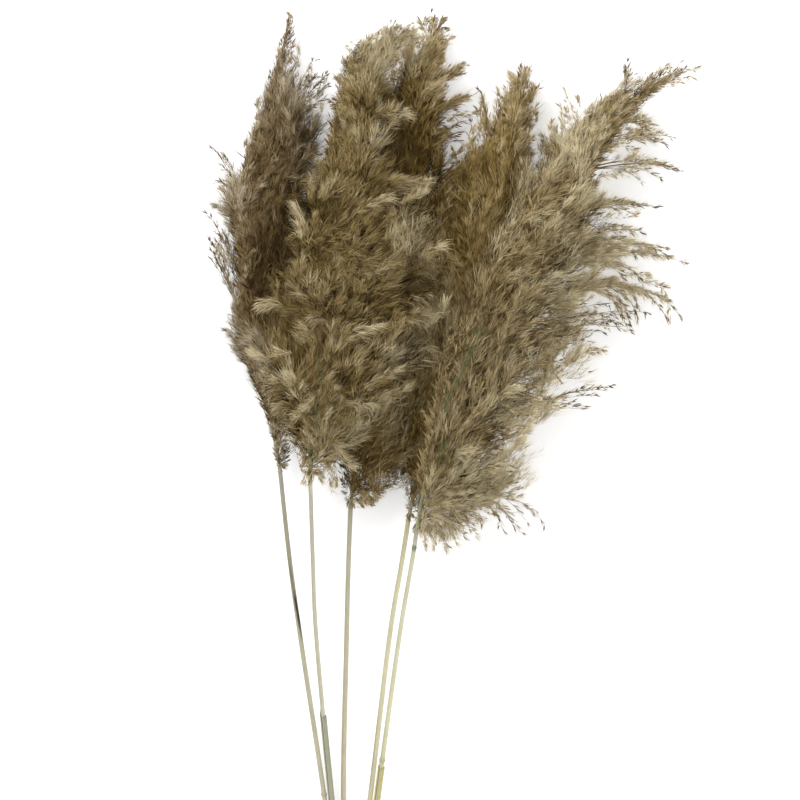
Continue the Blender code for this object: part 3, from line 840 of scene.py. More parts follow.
def add_piece(mesh, material, replaced=()):
    """Links a mesh as a piece of the bunch."""
    piece = bpy.data.objects.new(mesh.name, mesh)
    bpy.context.scene.collection.objects.link(piece)
    mesh.materials.append(material)
    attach(piece, "root")
    if replaced:
        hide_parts(*replaced)
    return piece


# The fluff

@dataclass
class Tufts:
    """Brushes of hair: their bases, the way they point and curl, their size, fullness and lightness."""
    base: np.ndarray
    axis: np.ndarray
    curl: np.ndarray
    facing: np.ndarray
    length: np.ndarray
    girth: np.ndarray
    hair: np.ndarray
    fullness: np.ndarray
    shade: np.ndarray
    husks: np.ndarray


def join_tufts(groups):
    """Several groups of tufts as one."""
    fields = Tufts.__dataclass_fields__
    return Tufts(*(np.concatenate([getattr(group, name) for group in groups]) for name in fields))


def sister_sprays(plume, draw):
    """The long loose side branches with how fluffy each is, and shorter ones beside each."""
    root, bend, tip, root_share = spray_paths(plume)
    looks = np.array(plume.spray_looks or (PLAIN_SPRAY,) * len(plume.sprays))
    run = tip - root
    count = len(run)
    length = np.linalg.norm(run, axis=1, keepdims=True)
    bend = bend + spine_frames(plume, root_share)[1] * length * looks[:, 1:]
    paths = [(root, bend, tip, root_share, looks[:, 0])]
    for _ in range(SPRAY_SISTERS):
        sideways = np.cross(run, UP) * draw.uniform(-SISTER_SWAY, SISTER_SWAY, count)[:, None]
        rise = draw.uniform(*SISTER_RISE, count)[:, None] * UP
        near_tip = root + run * draw.uniform(*SISTER_RUN, count)[:, None] + sideways + rise
        near_bend = bend + (near_tip - tip) * 0.5
        paths.append((root, near_bend, near_tip, root_share, looks[:, 0]))
    return tuple(np.concatenate(part) for part in zip(*paths))


def grow_paths(plume, draw, extra):
    """All the side branches of a plume, where each starts and ends, and how fluffy the loose ones are."""
    share, azimuth, reach = lock_places(plume)
    more = np.arange(extra)
    share = np.concatenate((share, FIRST_LOCK + LOCK_SPAN * (more + draw.uniform(0, 1, extra)) / extra))
    turn = more * GOLDEN_ANGLE * FINE_TURN + draw.uniform(-FINE_JITTER, FINE_JITTER, extra)
    azimuth = np.concatenate((azimuth, turn))
    reach = np.concatenate((reach, draw.uniform(*FINE_REACH, extra)))
    across = np.cos(azimuth)
    wide = side_reach(spine_frames(plume, share)[4], across)
    reach *= np.clip(1 + rim_change(plume, share, across) * np.abs(across) / wide, *RIM_LIMITS)
    root, bend, tip, root_share = branch_paths(plume, share, azimuth, reach)
    spray_root, spray_bend, spray_tip, spray_share, fluffy = sister_sprays(plume, draw)
    loose = np.concatenate((np.zeros(len(share)), fluffy))
    end_share = np.concatenate((share, np.minimum(spray_share + BRANCH_RUN, 1.0)))
    pairs = ((root, spray_root), (bend, spray_bend), (tip, spray_tip))
    path = tuple(np.concatenate(pair) for pair in pairs)
    return path, np.concatenate((root_share, spray_share)), end_share, loose


def taper(plume, share):
    """How much shorter the hairs are at the foot and at the tip of the plume."""
    return np.interp(share, TAPER_SHARES, (plume.foot_hair, 1.0, 1.0, TIP_HAIR))


def tone_at(plume, share):
    """How much lighter the plume is at a share of its spine."""
    return np.interp(share, TONE_SHARES, plume.tone)


def rim_change(plume, share, across):
    """How much farther the fluff reaches than the solid, to the right where across is above zero."""
    shares, left, right = np.array(plume.rim, float).T
    return np.where(across > 0, np.interp(share, shares, right), np.interp(share, shares, left))


def spot_tone_and_shadow(plume, points):
    """How much lighter the plume is at points, from its soft light and dark spots, which are partly the
    fluff's own tone and partly painted shadow between the plumes.
    """
    tone = np.zeros(len(points))
    for x, y, radius, amount in plume.spots:
        distance = np.hypot(points[:, 0] - x, points[:, 1] - y)
        tone += amount * np.exp(-(distance / radius) ** 2)
    return tone


def along_curl(base, axis, curl, size, t):
    """The points at shares t of tufts that bend by their curl."""
    return base + axis * size * t + curl * size * t ** 2 * 0.5


def brush_tufts(draw, brushes, hair, husk_odds):
    """Tufts laid closely along each of some brushes, with painted shade and light: dark at the root and on
    the underside, light at the tip and on top.
    """
    owner = np.repeat(np.arange(len(brushes.length)), BRUSH_TUFTS)
    total = len(owner)
    u = draw.uniform(0, 1, total)
    away = np.sqrt(draw.uniform(0, 1, total))
    run = brushes.length[owner][:, None]
    axis = brushes.axis[owner]
    curl = brushes.curl[owner]
    tuft_axis, sideways = scattered(draw, unit(axis + curl * u[:, None]), BRUSH_LEAN * away)
    radius = brushes.girth[owner] * away * np.sin(math.pi * (BRUSH_FOOT + BRUSH_SWELL * u))
    point = along_curl(brushes.base[owner], axis, curl, run, u[:, None])
    point += sideways * radius[:, None]
    facing = unit(brushes.facing[owner] + sideways * away[:, None])
    # Painted light and shade: each brush is lighter towards its tip and on its upper side.
    shade = brushes.shade[owner] + BRUSH_PAINTED_TIP_LIGHT * (u - BRUSH_EVEN) + BRUSH_PAINTED_TOP_LIGHT * sideways[:, 2] * away
    shade += draw.normal(0, BRUSH_SHADE_SPREAD, total)
    hair = hair[owner]
    husks = ((draw.uniform(size=total) < husk_odds[owner]) & (u > BRUSH_HUSKS)).astype(int)
    size = draw.uniform(*BRUSH_LENGTHS, total) * hair
    fullness = brushes.fullness[owner]
    return Tufts(point, tuft_axis, curl, facing, size, hair * BRUSH_GIRTH, hair, fullness, shade, husks)


def branch_tufts(plume, draw, settings):
    """Tufts along the outer part of the side branches, thinner and looser towards the tips."""
    path, root_share, end_share, loose = grow_paths(plume, draw, settings.fine_branches)
    length = np.linalg.norm(path[2] - path[0], axis=1)
    spacing = settings.tuft_spacing / MM
    counts = np.maximum((length * (1 - BARE_RUN) / spacing).astype(int), FEWEST_TUFTS)
    owner = np.repeat(np.arange(len(counts)), counts)
    step = np.concatenate([(np.arange(n) + 0.5) / n for n in counts])
    count = len(step)
    u = np.clip(BARE_RUN + (1 - BARE_RUN) * step + draw.normal(0, PLACE_JITTER, count), 0.0, 1.0)
    own = tuple(part[owner] for part in path)
    base = path_point(own, u)
    slope = path_slope(own, u)
    fluffy = loose[owner]
    is_loose = (fluffy > 0).astype(float)
    share = root_share[owner] + (end_share - root_share)[owner] * u
    place, along, _, _, reach = spine_frames(plume, share)
    forward = unit(slope + along * (plume.sweep * (1 - is_loose) * (1 - TIP_FORWARD * u))[:, None])
    lean = np.tan(np.radians(np.interp(u, (BARE_RUN, 1.0), BRANCH_LEAN))) * draw.uniform(*LEAN_SHARE, count)
    flow = drift(base, plume.seed)
    axis, _ = scattered(draw, unit((forward + flow * (BRANCH_FLOW * plume.curl)) * LYING), lean)
    curl = drift(base, plume.seed + 1) * (plume.curl * draw.uniform(*BRANCH_CURL, count))[:, None]
    facing = outward(plume, base, share) * (1 - LOOSE_FACING * is_loose)[:, None] + UP * FACE_UP
    mean_reach = np.maximum(reach.mean(axis=1), SMALLEST_REACH)
    outness = np.clip(np.linalg.norm(base - place, axis=1) / mean_reach, 0.0, BRANCH_OUTERMOST)
    size = np.interp(u, TUFT_SHARES, TUFT_LENGTHS) * draw.uniform(*TUFT_SPREAD, count)
    size *= taper(plume, share) * (1 - LOOSE_SHORTENING * is_loose * u)
    outer = np.clip(outness - OPEN_OUTNESS, 0, 1)
    thin = ramped(u, OPEN_START, OPEN_RUN) * outer * OPEN_AMOUNT * plume.openness
    thin += is_loose * np.interp(u, LOOSE_SHARES, LOOSE_THINNING)
    thin += TIP_THINNING * ramped(share, TIP_START, TIP_RUN) * plume.tip_thinness * (1 - is_loose)
    thin = np.clip(thin, 0, THINNEST)
    # Painted shade: tufts nearer the spine are darker.
    shade = BRANCH_SHADE + BRANCH_PAINTED_CORE_SHADE * outness + BRANCH_PATCH_SHADE * patchiness(base, plume.seed)
    shade = shade + draw.normal(0, BRANCH_SHADE_SPREAD, count)
    light = np.where(draw.uniform(size=count) < LIGHT_TUFT_ODDS, LIGHT_TUFT_SHADE, 0.0)
    # Painted light: thin, open fluff is paler, as if light shone through it.
    shade += light + tone_at(plume, share) + THIN_PAINTED_LIGHT * thin
    # The spots add the fluff's own tone and painted shadow where plumes lie against each other.
    shade += spot_tone_and_shadow(plume, base) * (1 - is_loose) + LOOSE_SHADE * is_loose
    husks = np.where((thin > HUSKED_THINNESS) & (share > HUSKED_START), *HUSKS)
    girth = BRANCH_GIRTH * taper(plume, share) * (1 - LOOSE_NARROWING * is_loose * u)
    fullness = (1 - thin) * np.where(is_loose > 0, LOOSE_FULLNESS * fluffy, FIRM_FULLNESS)
    return Tufts(base, axis, curl, facing, size, girth, taper(plume, share), fullness, shade, husks)


@dataclass
class Places:
    """Places all through a plume's body, and how the fluff lies at each."""
    centre: np.ndarray
    direction: np.ndarray
    curl: np.ndarray
    facing: np.ndarray
    share: np.ndarray
    depth: np.ndarray
    wide: np.ndarray
    tone: np.ndarray
    fullness: np.ndarray
    rimness: np.ndarray


def body_places(plume, draw, count):
    """Picks places through the body, most of them near its upper face and its ragged rim."""
    tries = BODY_TRIES * count
    share = draw.uniform(0.0, BODY_END, tries)
    azimuth = draw.uniform(0, 2 * math.pi, tries)
    depth = np.sqrt(draw.uniform(BODY_CORE, 1.0, tries)) * BODY_FILL
    across = np.cos(azimuth)
    rise = np.sin(azimuth)
    reach = spine_frames(plume, share)[4]
    wide = np.maximum(side_reach(reach, across) + rim_change(plume, share, across), NARROWEST)
    tall = np.where(rise > 0, reach[:, 2], reach[:, 3])
    thinness = plume.tip_thinness * ramped(share, THIN_START, THIN_RUN)
    weight = np.hypot(wide * rise, tall * across) + RIM_WEIGHT * wide
    weight = weight * np.where(rise < UNDERSIDE, UNDERSIDE_WEIGHT, 1.0) * (1 - thinness)
    keep = draw.choice(tries, count, replace=False, p=weight / weight.sum())
    share, azimuth, depth, across, rise = (part[keep] for part in (share, azimuth, depth, across, rise))
    wide, tall, thinness = wide[keep], tall[keep], thinness[keep]
    place, along, right, up, _ = spine_frames(plume, share)
    rim = place + right * (across * wide)[:, None] + up * (rise * tall)[:, None]
    depth *= 1 + RAGGED * patchiness(rim, plume.seed + 3, *RAGGED_WAVES) * depth
    sideways = across * wide * depth
    centre = place + right * sideways[:, None] + up * (rise * tall * depth)[:, None]
    centre[:, 2] -= plume.sag * np.maximum(sideways, 0.0)
    patch = PATCH_WEIGHT * patchiness(centre, plume.seed)
    patch = patch + FINE_PATCH_WEIGHT * patchiness(centre, plume.seed + 4, *FINE_PATCH_WAVES)
    hollow = np.clip(-patch - HOLLOW_START, 0, 1)
    centre -= UP * (hollow * HOLLOW_SINK * np.clip(rise, 0, 1))[:, None]
    slope = path_slope(branch_paths(plume, share, azimuth, depth)[:3], np.full(count, BRANCH_END))
    near_foot = np.clip(1 - share / FOOT_RUN, 0, 1)
    forward = unit(slope + along * (plume.sweep - plume.droop * near_foot)[:, None])
    direction = unit((forward + drift(centre, plume.seed) * (BODY_FLOW * plume.curl)) * LYING)
    curl = drift(centre, plume.seed + 1) * (plume.curl * draw.uniform(*BODY_CURL, count))[:, None]
    bare = np.zeros(count, bool)
    for low, high in plume.bare_stalk:
        bare |= (share > low) & (share < high)
    bare &= (np.abs(sideways) < plume.parting) & (rise > 0)
    fullness = np.where(bare, PARTED_FULLNESS, 1 - THIN_FULLNESS * thinness)
    facing = outward(plume, centre, share)
    # Painted shade: the deeper in the plume, the darker the fluff.
    tone = BODY_SHADE + PAINTED_CORE_SHADE * depth + PATCH_SHADE * patch
    # The spots add the fluff's own tone and painted shadow where plumes lie against each other.
    tone = tone + tone_at(plume, share) + spot_tone_and_shadow(plume, centre)
    rimness = ramped(depth, RIM_START, RIM_RUN) * np.abs(across)
    # Painted light: hairs at the sides of the rim are paler, as if light shone through the thin fringe.
    tone += RIM_PAINTED_LIGHT * rimness
    return Places(centre, direction, curl, facing, share, depth, wide, tone, fullness, rimness)


def fur_tufts(plume, draw, settings):
    """Small tufts all through the body of the plume, where its finest side branches end."""
    count = settings.body_tufts
    body = body_places(plume, draw, count)
    axis, _ = scattered(draw, body.direction, leans(draw, FUR_LEAN, count))
    narrow = np.clip(body.wide / WIDE_BODY, FUR_SMALLEST, 1.0)
    size = draw.uniform(*FUR_LENGTHS, count) * taper(plume, body.share) * narrow
    base = body.centre - axis * (size * FUR_SINK)[:, None]
    shade = body.tone + draw.normal(0, FUR_SHADE_SPREAD, count)
    hair = taper(plume, body.share) * np.clip(body.wide / WIDE_FUR, FUR_FINEST, 1.0)
    hair = hair * (1 + RIM_HAIR * body.rimness)
    husks = (draw.uniform(size=count) < FUR_HUSK_ODDS).astype(int)
    fullness = body.fullness * (FUR_CORE_FULLNESS + (1 - FUR_CORE_FULLNESS) * body.depth)
    fullness = fullness * (1 - RIM_THINNING * body.rimness)
    return Tufts(base, axis, body.curl, body.facing, size, hair * FUR_GIRTH, hair, fullness, shade, husks)


def lock_tufts(plume, draw, settings):
    """Locks of fluff: tufts laid closely round the ends of many side branches."""
    count = settings.locks
    body = body_places(plume, draw, count)
    small = taper(plume, body.share) * np.clip(body.wide / WIDE_BODY, LOCK_SMALLEST, 1.0)
    length = draw.uniform(*LOCK_LENGTHS, count) * small
    girth = length * draw.uniform(*LOCK_GIRTHS, count)
    axis, _ = scattered(draw, body.direction, leans(draw, LOCK_LEAN, count))
    base = body.centre - axis * (length * 0.5)[:, None]
    shade = body.tone + draw.normal(0, LOCK_SHADE_SPREAD, count)
    shade = shade + np.where(draw.uniform(size=count) < LIGHT_LOCK_ODDS, LIGHT_LOCK_SHADE, 0.0)
    husk_odds = np.where(body.depth > LOCK_OUTSIDE, *LOCK_HUSK_ODDS)
    brushes = Tufts(
        base, axis, body.curl, body.facing, length, girth, small, body.fullness, shade,
        np.zeros(count, int),
    )
    return brush_tufts(draw, brushes, small * LOCK_HAIR, husk_odds)


def face_height(plume, x, y):
    """The height of the plume's upper face over points of the floor plan."""
    place, _, right, _, reach = spine_frames(plume, SPINE_SAMPLES)
    away = np.stack((x, y), axis=1)[:, None] - place[None, :, :2]
    nearest = np.argmin(np.linalg.norm(away, axis=2), axis=1)
    sideways = np.sum(away[np.arange(len(x)), nearest] * right[nearest, :2], axis=1)
    wide = np.where(sideways > 0, reach[nearest, 1], reach[nearest, 0])
    crown = np.sqrt(np.clip(1 - (sideways / wide) ** 2, FACE_LOWEST, 1))
    face = place[nearest, 2] + reach[nearest, 2] * crown * FACE_CROWN
    return face - plume.sag * np.maximum(sideways, 0)


def standing_tufts(plume, draw, rows, girth, fullness, shade, hair, husk_odds):
    """Single brushes at given places, each from a start to an end on the plume's face or rim."""
    count = len(rows)
    start = np.array([row[:2] for row in rows], float).reshape(-1, 2)
    end = np.array([row[2:] for row in rows], float).reshape(-1, 2)
    base = np.column_stack((start, face_height(plume, *start.T) - STANDING_DEPTH))
    tip = np.column_stack((end, face_height(plume, *end.T) + STANDING_RISE))
    run = tip - base
    axis = unit(run)
    bow = np.cross(axis, UP) * draw.choice((-1.0, 1.0), count)[:, None]
    facing = np.tile(UP, (count, 1)) + draw.normal(0, STANDING_TILT, (count, 3))
    shade = shade + draw.uniform(-STANDING_SHADE_SPREAD, STANDING_SHADE_SPREAD, count)
    brushes = Tufts(
        base, unit(axis - bow * STANDING_BOW), bow * STANDING_CURL, facing,
        np.linalg.norm(run, axis=1) * STANDING_RUN, np.full(count, girth), np.full(count, hair),
        np.full(count, fullness), shade, np.zeros(count, int),
    )
    return brush_tufts(draw, brushes, np.full(count, hair), np.full(count, husk_odds))


def curl_tufts(plume, draw):
    """The long light curls that stand out on the face of the plume."""
    return standing_tufts(plume, draw, plume.curls, **CURL_LOOKS)


def rim_tufts(plume, draw):
    """The thin tufts that stand out of the rim, with spikelets near their tips."""
    return standing_tufts(plume, draw, plume.tufts, **TUFT_LOOKS)


@dataclass
class Slivers:
    """Many flat slivers alike: their points, places on the colour map, normals and triangles."""
    points: np.ndarray
    places: np.ndarray
    normals: np.ndarray
    corners: np.ndarray


def broadside(draw, direction, facing, spread):
    """The way across each sliver that turns its flat side outwards, more or less."""
    noise = draw.normal(0, spread, direction.shape)
    return unit(np.cross(direction, facing + noise))


def kites(root, middle, tip, side, width, shade, facing):
    """Slivers that are widest at their middle."""
    half = side * (width / 2)[:, None]
    points = np.stack((root, middle + half, tip, middle - half), axis=1)
    places = np.empty((len(root), 4, 2))
    places[:, :, 0] = (UV_ROOT, UV_MIDDLE, UV_TIP, UV_MIDDLE)
    places[:, :, 1] = shade[:, None] + np.array((0.0, UV_HALF_WIDTH, 0.0, -UV_HALF_WIDTH))
    return Slivers(points, places, np.repeat(facing[:, None], 4, axis=1), KITE_CORNERS)


def blades(root, tip, side, width, shade, facing):
    """Slivers that are widest at their root."""
    half = side * (width / 2)[:, None]
    points = np.stack((root - half, root + half, tip), axis=1)
    places = np.empty((len(root), 3, 2))
    places[:, :, 0] = (UV_ROOT, UV_ROOT, UV_TIP)
    places[:, :, 1] = shade[:, None] + np.array((-UV_HALF_WIDTH, UV_HALF_WIDTH, 0.0))
    return Slivers(points, places, np.repeat(facing[:, None], 3, axis=1), BLADE_CORNERS)


def grow_hairs(tufts, draw, settings, total, curved):
    """The silky hairs of all the tufts. The curved ones are kites, and the straight ones blades."""
    weight = (tufts.length + TUFT_END) * tufts.fullness
    counts = np.floor(total * weight / weight.sum()).astype(int)
    owner = np.repeat(np.arange(len(counts)), counts)
    count = len(owner)
    t = draw.uniform(0, HAIR_ROOTS, count)
    axis = tufts.axis[owner]
    curl = tufts.curl[owner]
    root = along_curl(tufts.base[owner], axis, curl, tufts.length[owner][:, None], t[:, None])
    direction, sideways = scattered(draw, unit(axis + curl * t[:, None]), leans(draw, HAIR_LEAN, count))
    root += sideways * (tufts.girth[owner] * draw.uniform(0, HAIR_SPREAD, count))[:, None]
    facing = tufts.facing[owner] + sideways * HAIR_ROUNDING + draw.normal(0, HAIR_TILT, (count, 3))
    facing = unit(facing)
    length = settings.hair_length / MM * tufts.hair[owner] * draw.uniform(*HAIR_LENGTHS, count)
    length = (length * (1 - HAIR_SHORTENING * t))[:, None]
    tip = root + direction * length + curl * length * HAIR_CURL
    side = broadside(draw, direction, facing, HAIR_TURN)
    width = settings.hair_width / MM * draw.uniform(*HAIR_WIDTHS, count)
    shade = tufts.shade[owner] + draw.normal(0, HAIR_SHADE_SPREAD, count)
    shade = np.clip(shade, DARKEST_SHADE, LIGHTEST_SHADE)
    if curved:
        bow = sideways * length * draw.uniform(*HAIR_BOW, count)[:, None]
        middle = root + direction * length * HAIR_MIDDLE + bow
        return kites(root, middle, tip, side, width, shade, facing)
    return blades(root, tip, side, width, shade, facing)


def grow_husks(tufts, draw, settings):
    """The brown husks of the spikelets: small lances that show where the fluff is thin."""
    owner = np.repeat(np.arange(len(tufts.husks)), tufts.husks)
    count = len(owner)
    t = draw.uniform(HUSK_LOWEST, 1.0, count)[:, None]
    axis = tufts.axis[owner]
    curl = tufts.curl[owner]
    root = along_curl(tufts.base[owner], axis, curl, tufts.length[owner][:, None], t)
    direction, _ = scattered(draw, unit(axis + curl * t), leans(draw, HUSK_LEAN, count))
    length = (settings.husk_length / MM * draw.uniform(*HUSK_LENGTHS, count))[:, None]
    facing = unit(tufts.facing[owner] + draw.normal(0, HUSK_TILT, (count, 3)))
    side = broadside(draw, direction, facing, HUSK_TURN)
    width = settings.husk_length / MM * HUSK_WIDTH * draw.uniform(*HUSK_WIDTHS, count)
    shade = HUSK_SHADE + draw.uniform(-HUSK_SHADE_SPREAD, HUSK_SHADE_SPREAD, count)
    middle = root + direction * length * HUSK_MIDDLE
    return kites(root, middle, root + direction * length, side, width, shade, facing)


def grow_inner(plume, draw, settings):
    """The broad dark bracts deep inside the plume, which close it to the light."""
    count = settings.inner_bracts
    share = draw.uniform(BRACT_START, BRACT_END - BRACT_TIP * plume.tip_thinness, count)
    azimuth = draw.uniform(0, 2 * math.pi, count)
    across = np.cos(azimuth)
    reach = spine_frames(plume, share)[4]
    depth = np.sqrt(draw.uniform(*BRACT_DEPTHS, count))
    change = rim_change(plume, share, across) * np.abs(across) / side_reach(reach, across)
    depth *= np.clip(1 + change, *BRACT_LIMITS)
    path = branch_paths(plume, share, azimuth, depth)[:3]
    small = np.clip(reach[:, :2].mean(axis=1) / BRACT_REACH, BRACT_SMALLEST, 1.0)
    u = draw.uniform(*BRACT_ROOTS, count)
    root = path_point(path, u)
    direction, _ = scattered(draw, path_slope(path, u), leans(draw, BRACT_LEAN, count))
    length = (draw.uniform(*BRACT_LENGTHS, count) * small)[:, None]
    facing = outward(plume, root, share)
    side = broadside(draw, direction, facing, BRACT_TURN)
    # The bracts take the darkest colour, partly for the dried florets and partly as painted shade deep
    # inside the plume.
    shade = draw.uniform(DARKEST_SHADE, DARKEST_SHADE + BRACT_SHADE_SPREAD, count)
    width = draw.uniform(*BRACT_WIDTHS, count) * small
    middle = root + direction * length * 0.5
    return kites(root, middle, root + direction * length, side, width, shade, facing)


def grow_greens(plume, draw):
    """Thin strands that are still a little green, in a few places along the stalk."""
    rows = np.array(plume.greens, float).reshape(-1, 5)
    owner = np.repeat(np.arange(len(rows)), rows[:, 4].astype(int))
    count = len(owner)
    start = rows[owner, :2]
    run = rows[owner, 2:4] - start
    place = start + run * draw.uniform(*GREEN_ROOTS, count)[:, None]
    place = place + draw.normal(0, GREEN_SPREAD, (count, 2))
    root = np.column_stack((place, face_height(plume, *place.T) + draw.uniform(*GREEN_HEIGHTS, count)))
    lean = leans(draw, GREEN_LEAN, count)
    direction, sideways = scattered(draw, unit(np.column_stack((run, np.zeros(count)))), lean)
    length = draw.uniform(*GREEN_LENGTHS, count)[:, None]
    facing = unit(UP + draw.normal(0, GREEN_TILT, (count, 3)))
    side = broadside(draw, direction, facing, GREEN_TURN)
    middle = root + direction * length * 0.5 + sideways * length * GREEN_BOW
    width = draw.uniform(*GREEN_WIDTHS, count)
    shade = np.full(count, GREEN_SHADE)
    return kites(root, middle, root + direction * length, side, width, shade, facing)


def fluff_mesh(plume, settings):
    """All hairs, husks and bracts of one plume in one mesh, with its colour map."""
    draw = np.random.default_rng(plume.seed)
    tufts = join_tufts((
        branch_tufts(plume, draw, settings), fur_tufts(plume, draw, settings),
        lock_tufts(plume, draw, settings), curl_tufts(plume, draw), rim_tufts(plume, draw),
    ))
    parts = [grow_husks(tufts, draw, settings), grow_inner(plume, draw, settings), grow_greens(plume, draw)]
    left = plume.triangles - 2 * sum(len(part.points) for part in parts)
    curved = int(left * settings.curved_share / 2)
    parts.append(grow_hairs(tufts, draw, settings, curved, True))
    parts.append(grow_hairs(tufts, draw, settings, left - 2 * curved, False))
    triangles = []
    offset = 0
    for part in parts:
        count, size = part.points.shape[:2]
        first = offset + np.arange(count) * size
        triangles.append((first[:, None, None] + part.corners).reshape(-1, 3))
        offset += count * size
    points = settle(plume, np.concatenate([part.points.reshape(-1, 3) for part in parts]))
    mesh = mesh_from(plume.name + "_fluff", points, np.concatenate(triangles))
    places = np.concatenate([part.places[:, part.corners].reshape(-1, 2) for part in parts])
    colour_map = mesh.uv_layers.new(name="OFBake")
    colour_map.data.foreach_set("uv", places.astype(np.float32).ravel())
    normals = np.concatenate([part.normals.reshape(-1, 3) for part in parts])
    softening = mesh.attributes.new("custom_normal", "FLOAT_VECTOR", "POINT")
    softening.data.foreach_set("vector", normals.astype(np.float32).ravel())
    return mesh


# The straw

def tube_arrays(rings_points, radii, sides):
    """Points and triangles of an open tube round a line of points."""
    rings_points = np.asarray(rings_points, float)
    ahead = np.gradient(rings_points, axis=0)
    along = unit(ahead)
    right = unit(np.cross(along, UP))
    up = np.cross(right, along)
    angle = np.arange(sides) * 2 * math.pi / sides
    spread = right[:, None] * np.cos(angle)[:, None] + up[:, None] * np.sin(angle)[:, None]
    points = rings_points[:, None] + spread * np.asarray(radii)[:, None, None]
    rows = np.arange(len(rings_points) - 1)[:, None] * sides
    side = np.arange(sides)
    low = rows + side
    low_next = rows + (side + 1) % sides
    quads = np.stack((low, low_next, low_next + sides, low + sides), axis=-1).reshape(-1, 4)
    triangles = np.concatenate((quads[:, (0, 1, 2)], quads[:, (0, 2, 3)]))
    return points.reshape(-1, 3), triangles


def join_arrays(parts):
    """Several arrays of points and triangles as one."""
    points = []
    triangles = []
    offset = 0
    for some_points, some_triangles in parts:
        points.append(some_points)
        triangles.append(some_triangles + offset)
        offset += len(some_points)
    return np.concatenate(points), np.concatenate(triangles)


def rachis_mesh(plume, settings, straw):
    """The stalk inside the plume with its side branches."""
    draw = np.random.default_rng(plume.seed)
    path, _, _, loose = grow_paths(plume, draw, settings.fine_branches)
    shares = np.linspace(0.0, STALK_END, STALK_RINGS)
    middle, _, _, up, reach = spine_frames(plume, shares)
    rise = plume.stalk_rise * np.sin(np.clip(shares / STALK_RISE_END, 0, 1) * math.pi)
    middle = middle + up * (reach[:, 2] * rise)[:, None]
    parts = [tube_arrays(middle, np.interp(shares, (0, 1), STALK_RADII), STALK_SIDES)]
    u = np.linspace(0, 1, BRANCH_RINGS)
    radii = np.interp(u, (0, 1), BRANCH_RADII)
    for number in range(len(loose)):
        own = tuple(part[number][None] for part in path)
        parts.append(tube_arrays(path_point(own, u), radii, BRANCH_SIDES))
    points, triangles = join_arrays(parts)
    mesh = mesh_from(plume.name + "_branches", settle(plume, points), triangles)
    tint = np.tile(straw.branch_colour, (len(points), 1))
    foot = np.repeat(np.clip(1 - shares / STRAW_RUN, 0, 1), STALK_SIDES)[:, None]
    tint[:len(foot)] += (np.array(straw.stalk_colour) - tint[:len(foot)]) * foot
    paint(mesh, tint)
    return mesh


def stem_line(stem, plume, shares):
    """Points down the culm, from under its plume to its cut end."""
    top, along = spine_frames(plume, 0.0)[:2]
    return blend_rows((tuple(top[0] - along[0] * STEM_TUCK), *stem.route), shares)


def stem_length(stem, plume):
    """The length of a culm, in millimetres."""
    line = stem_line(stem, plume, np.linspace(0, 1, STEM_SAMPLES))
    return np.linalg.norm(np.diff(line, axis=0), axis=1).sum()


def stem_mesh(stem, plume):
    """A straw culm with swollen nodes, fine ribs along it and a hollow cut end."""
    length = stem_length(stem, plume)
    near_nodes = [node + NODE_RINGS / length for node in stem.nodes]
    shares = np.unique(np.concatenate([np.linspace(0, 1, STEM_RINGS)] + near_nodes))
    shares = shares[(shares >= 0) & (shares <= 1)]
    girth = STEM_TOP_GIRTH + (1 - STEM_TOP_GIRTH) * shares
    for node in stem.nodes:
        distance = np.abs(shares - node) * length / NODE_LENGTH
        girth = girth * (1 + (NODE_SWELL - 1) * np.exp(-(distance * NODE_SHARPNESS) ** 2))
    line = stem_line(stem, plume, shares)
    points, triangles = tube_arrays(line, STEM_RADIUS * stem.girth * girth, STEM_SIDES)
    points = points.reshape(len(shares), STEM_SIDES, 3)
    centre = line[:, None]
    ribs = 1 + RIB_DEPTH * np.cos(np.arange(STEM_SIDES) * math.pi)
    points = centre + (points - centre) * ribs[None, :, None]
    end_points, end_triangles = cut_end(line, points[-1], len(points) * STEM_SIDES)
    points = np.concatenate((points.reshape(-1, 3), end_points))
    mesh = mesh_from("straw_" + stem.name, points, np.concatenate((triangles, end_triangles)))
    hollow = np.tile(HOLLOW_COLOUR, (len(end_points), 1))
    tint = np.concatenate((np.repeat(stem_tint(stem, shares), STEM_SIDES, axis=0), hollow))
    paint(mesh, stem_marks(stem, tint, shares))
    for face in mesh.polygons:
        face.use_smooth = True
    return mesh


def cut_end(line, rim, first):
    """The hollow end of a culm: a ring inside the rim, one deeper in, and a floor, numbered from first."""
    down = unit(line[-1] - line[-2])
    inner = line[-1] + (rim - line[-1]) * HOLLOW_SHARE
    deep = inner - down * HOLLOW_DEPTH
    side = np.arange(STEM_SIDES)
    after = (side + 1) % STEM_SIDES
    ends = []
    for low in (first - STEM_SIDES, first):
        high = low + STEM_SIDES
        ends.append(np.stack((low + side, low + after, high + after), axis=1))
        ends.append(np.stack((low + side, high + after, high + side), axis=1))
    floor = np.full(STEM_SIDES, high + STEM_SIDES)
    ends.append(np.stack((high + side, high + after, floor), axis=1))
    return np.concatenate((inner, deep, deep.mean(axis=0)[None])), np.concatenate(ends)


def stem_tint(stem, shares):
    """The straw's own colour down the culm, which every stem has a little differently."""
    places = np.linspace(0, COLOURS_END, len(stem.colours))
    parts = [np.interp(shares, places, part) for part in np.transpose(stem.colours)]
    return np.stack(parts, axis=1)


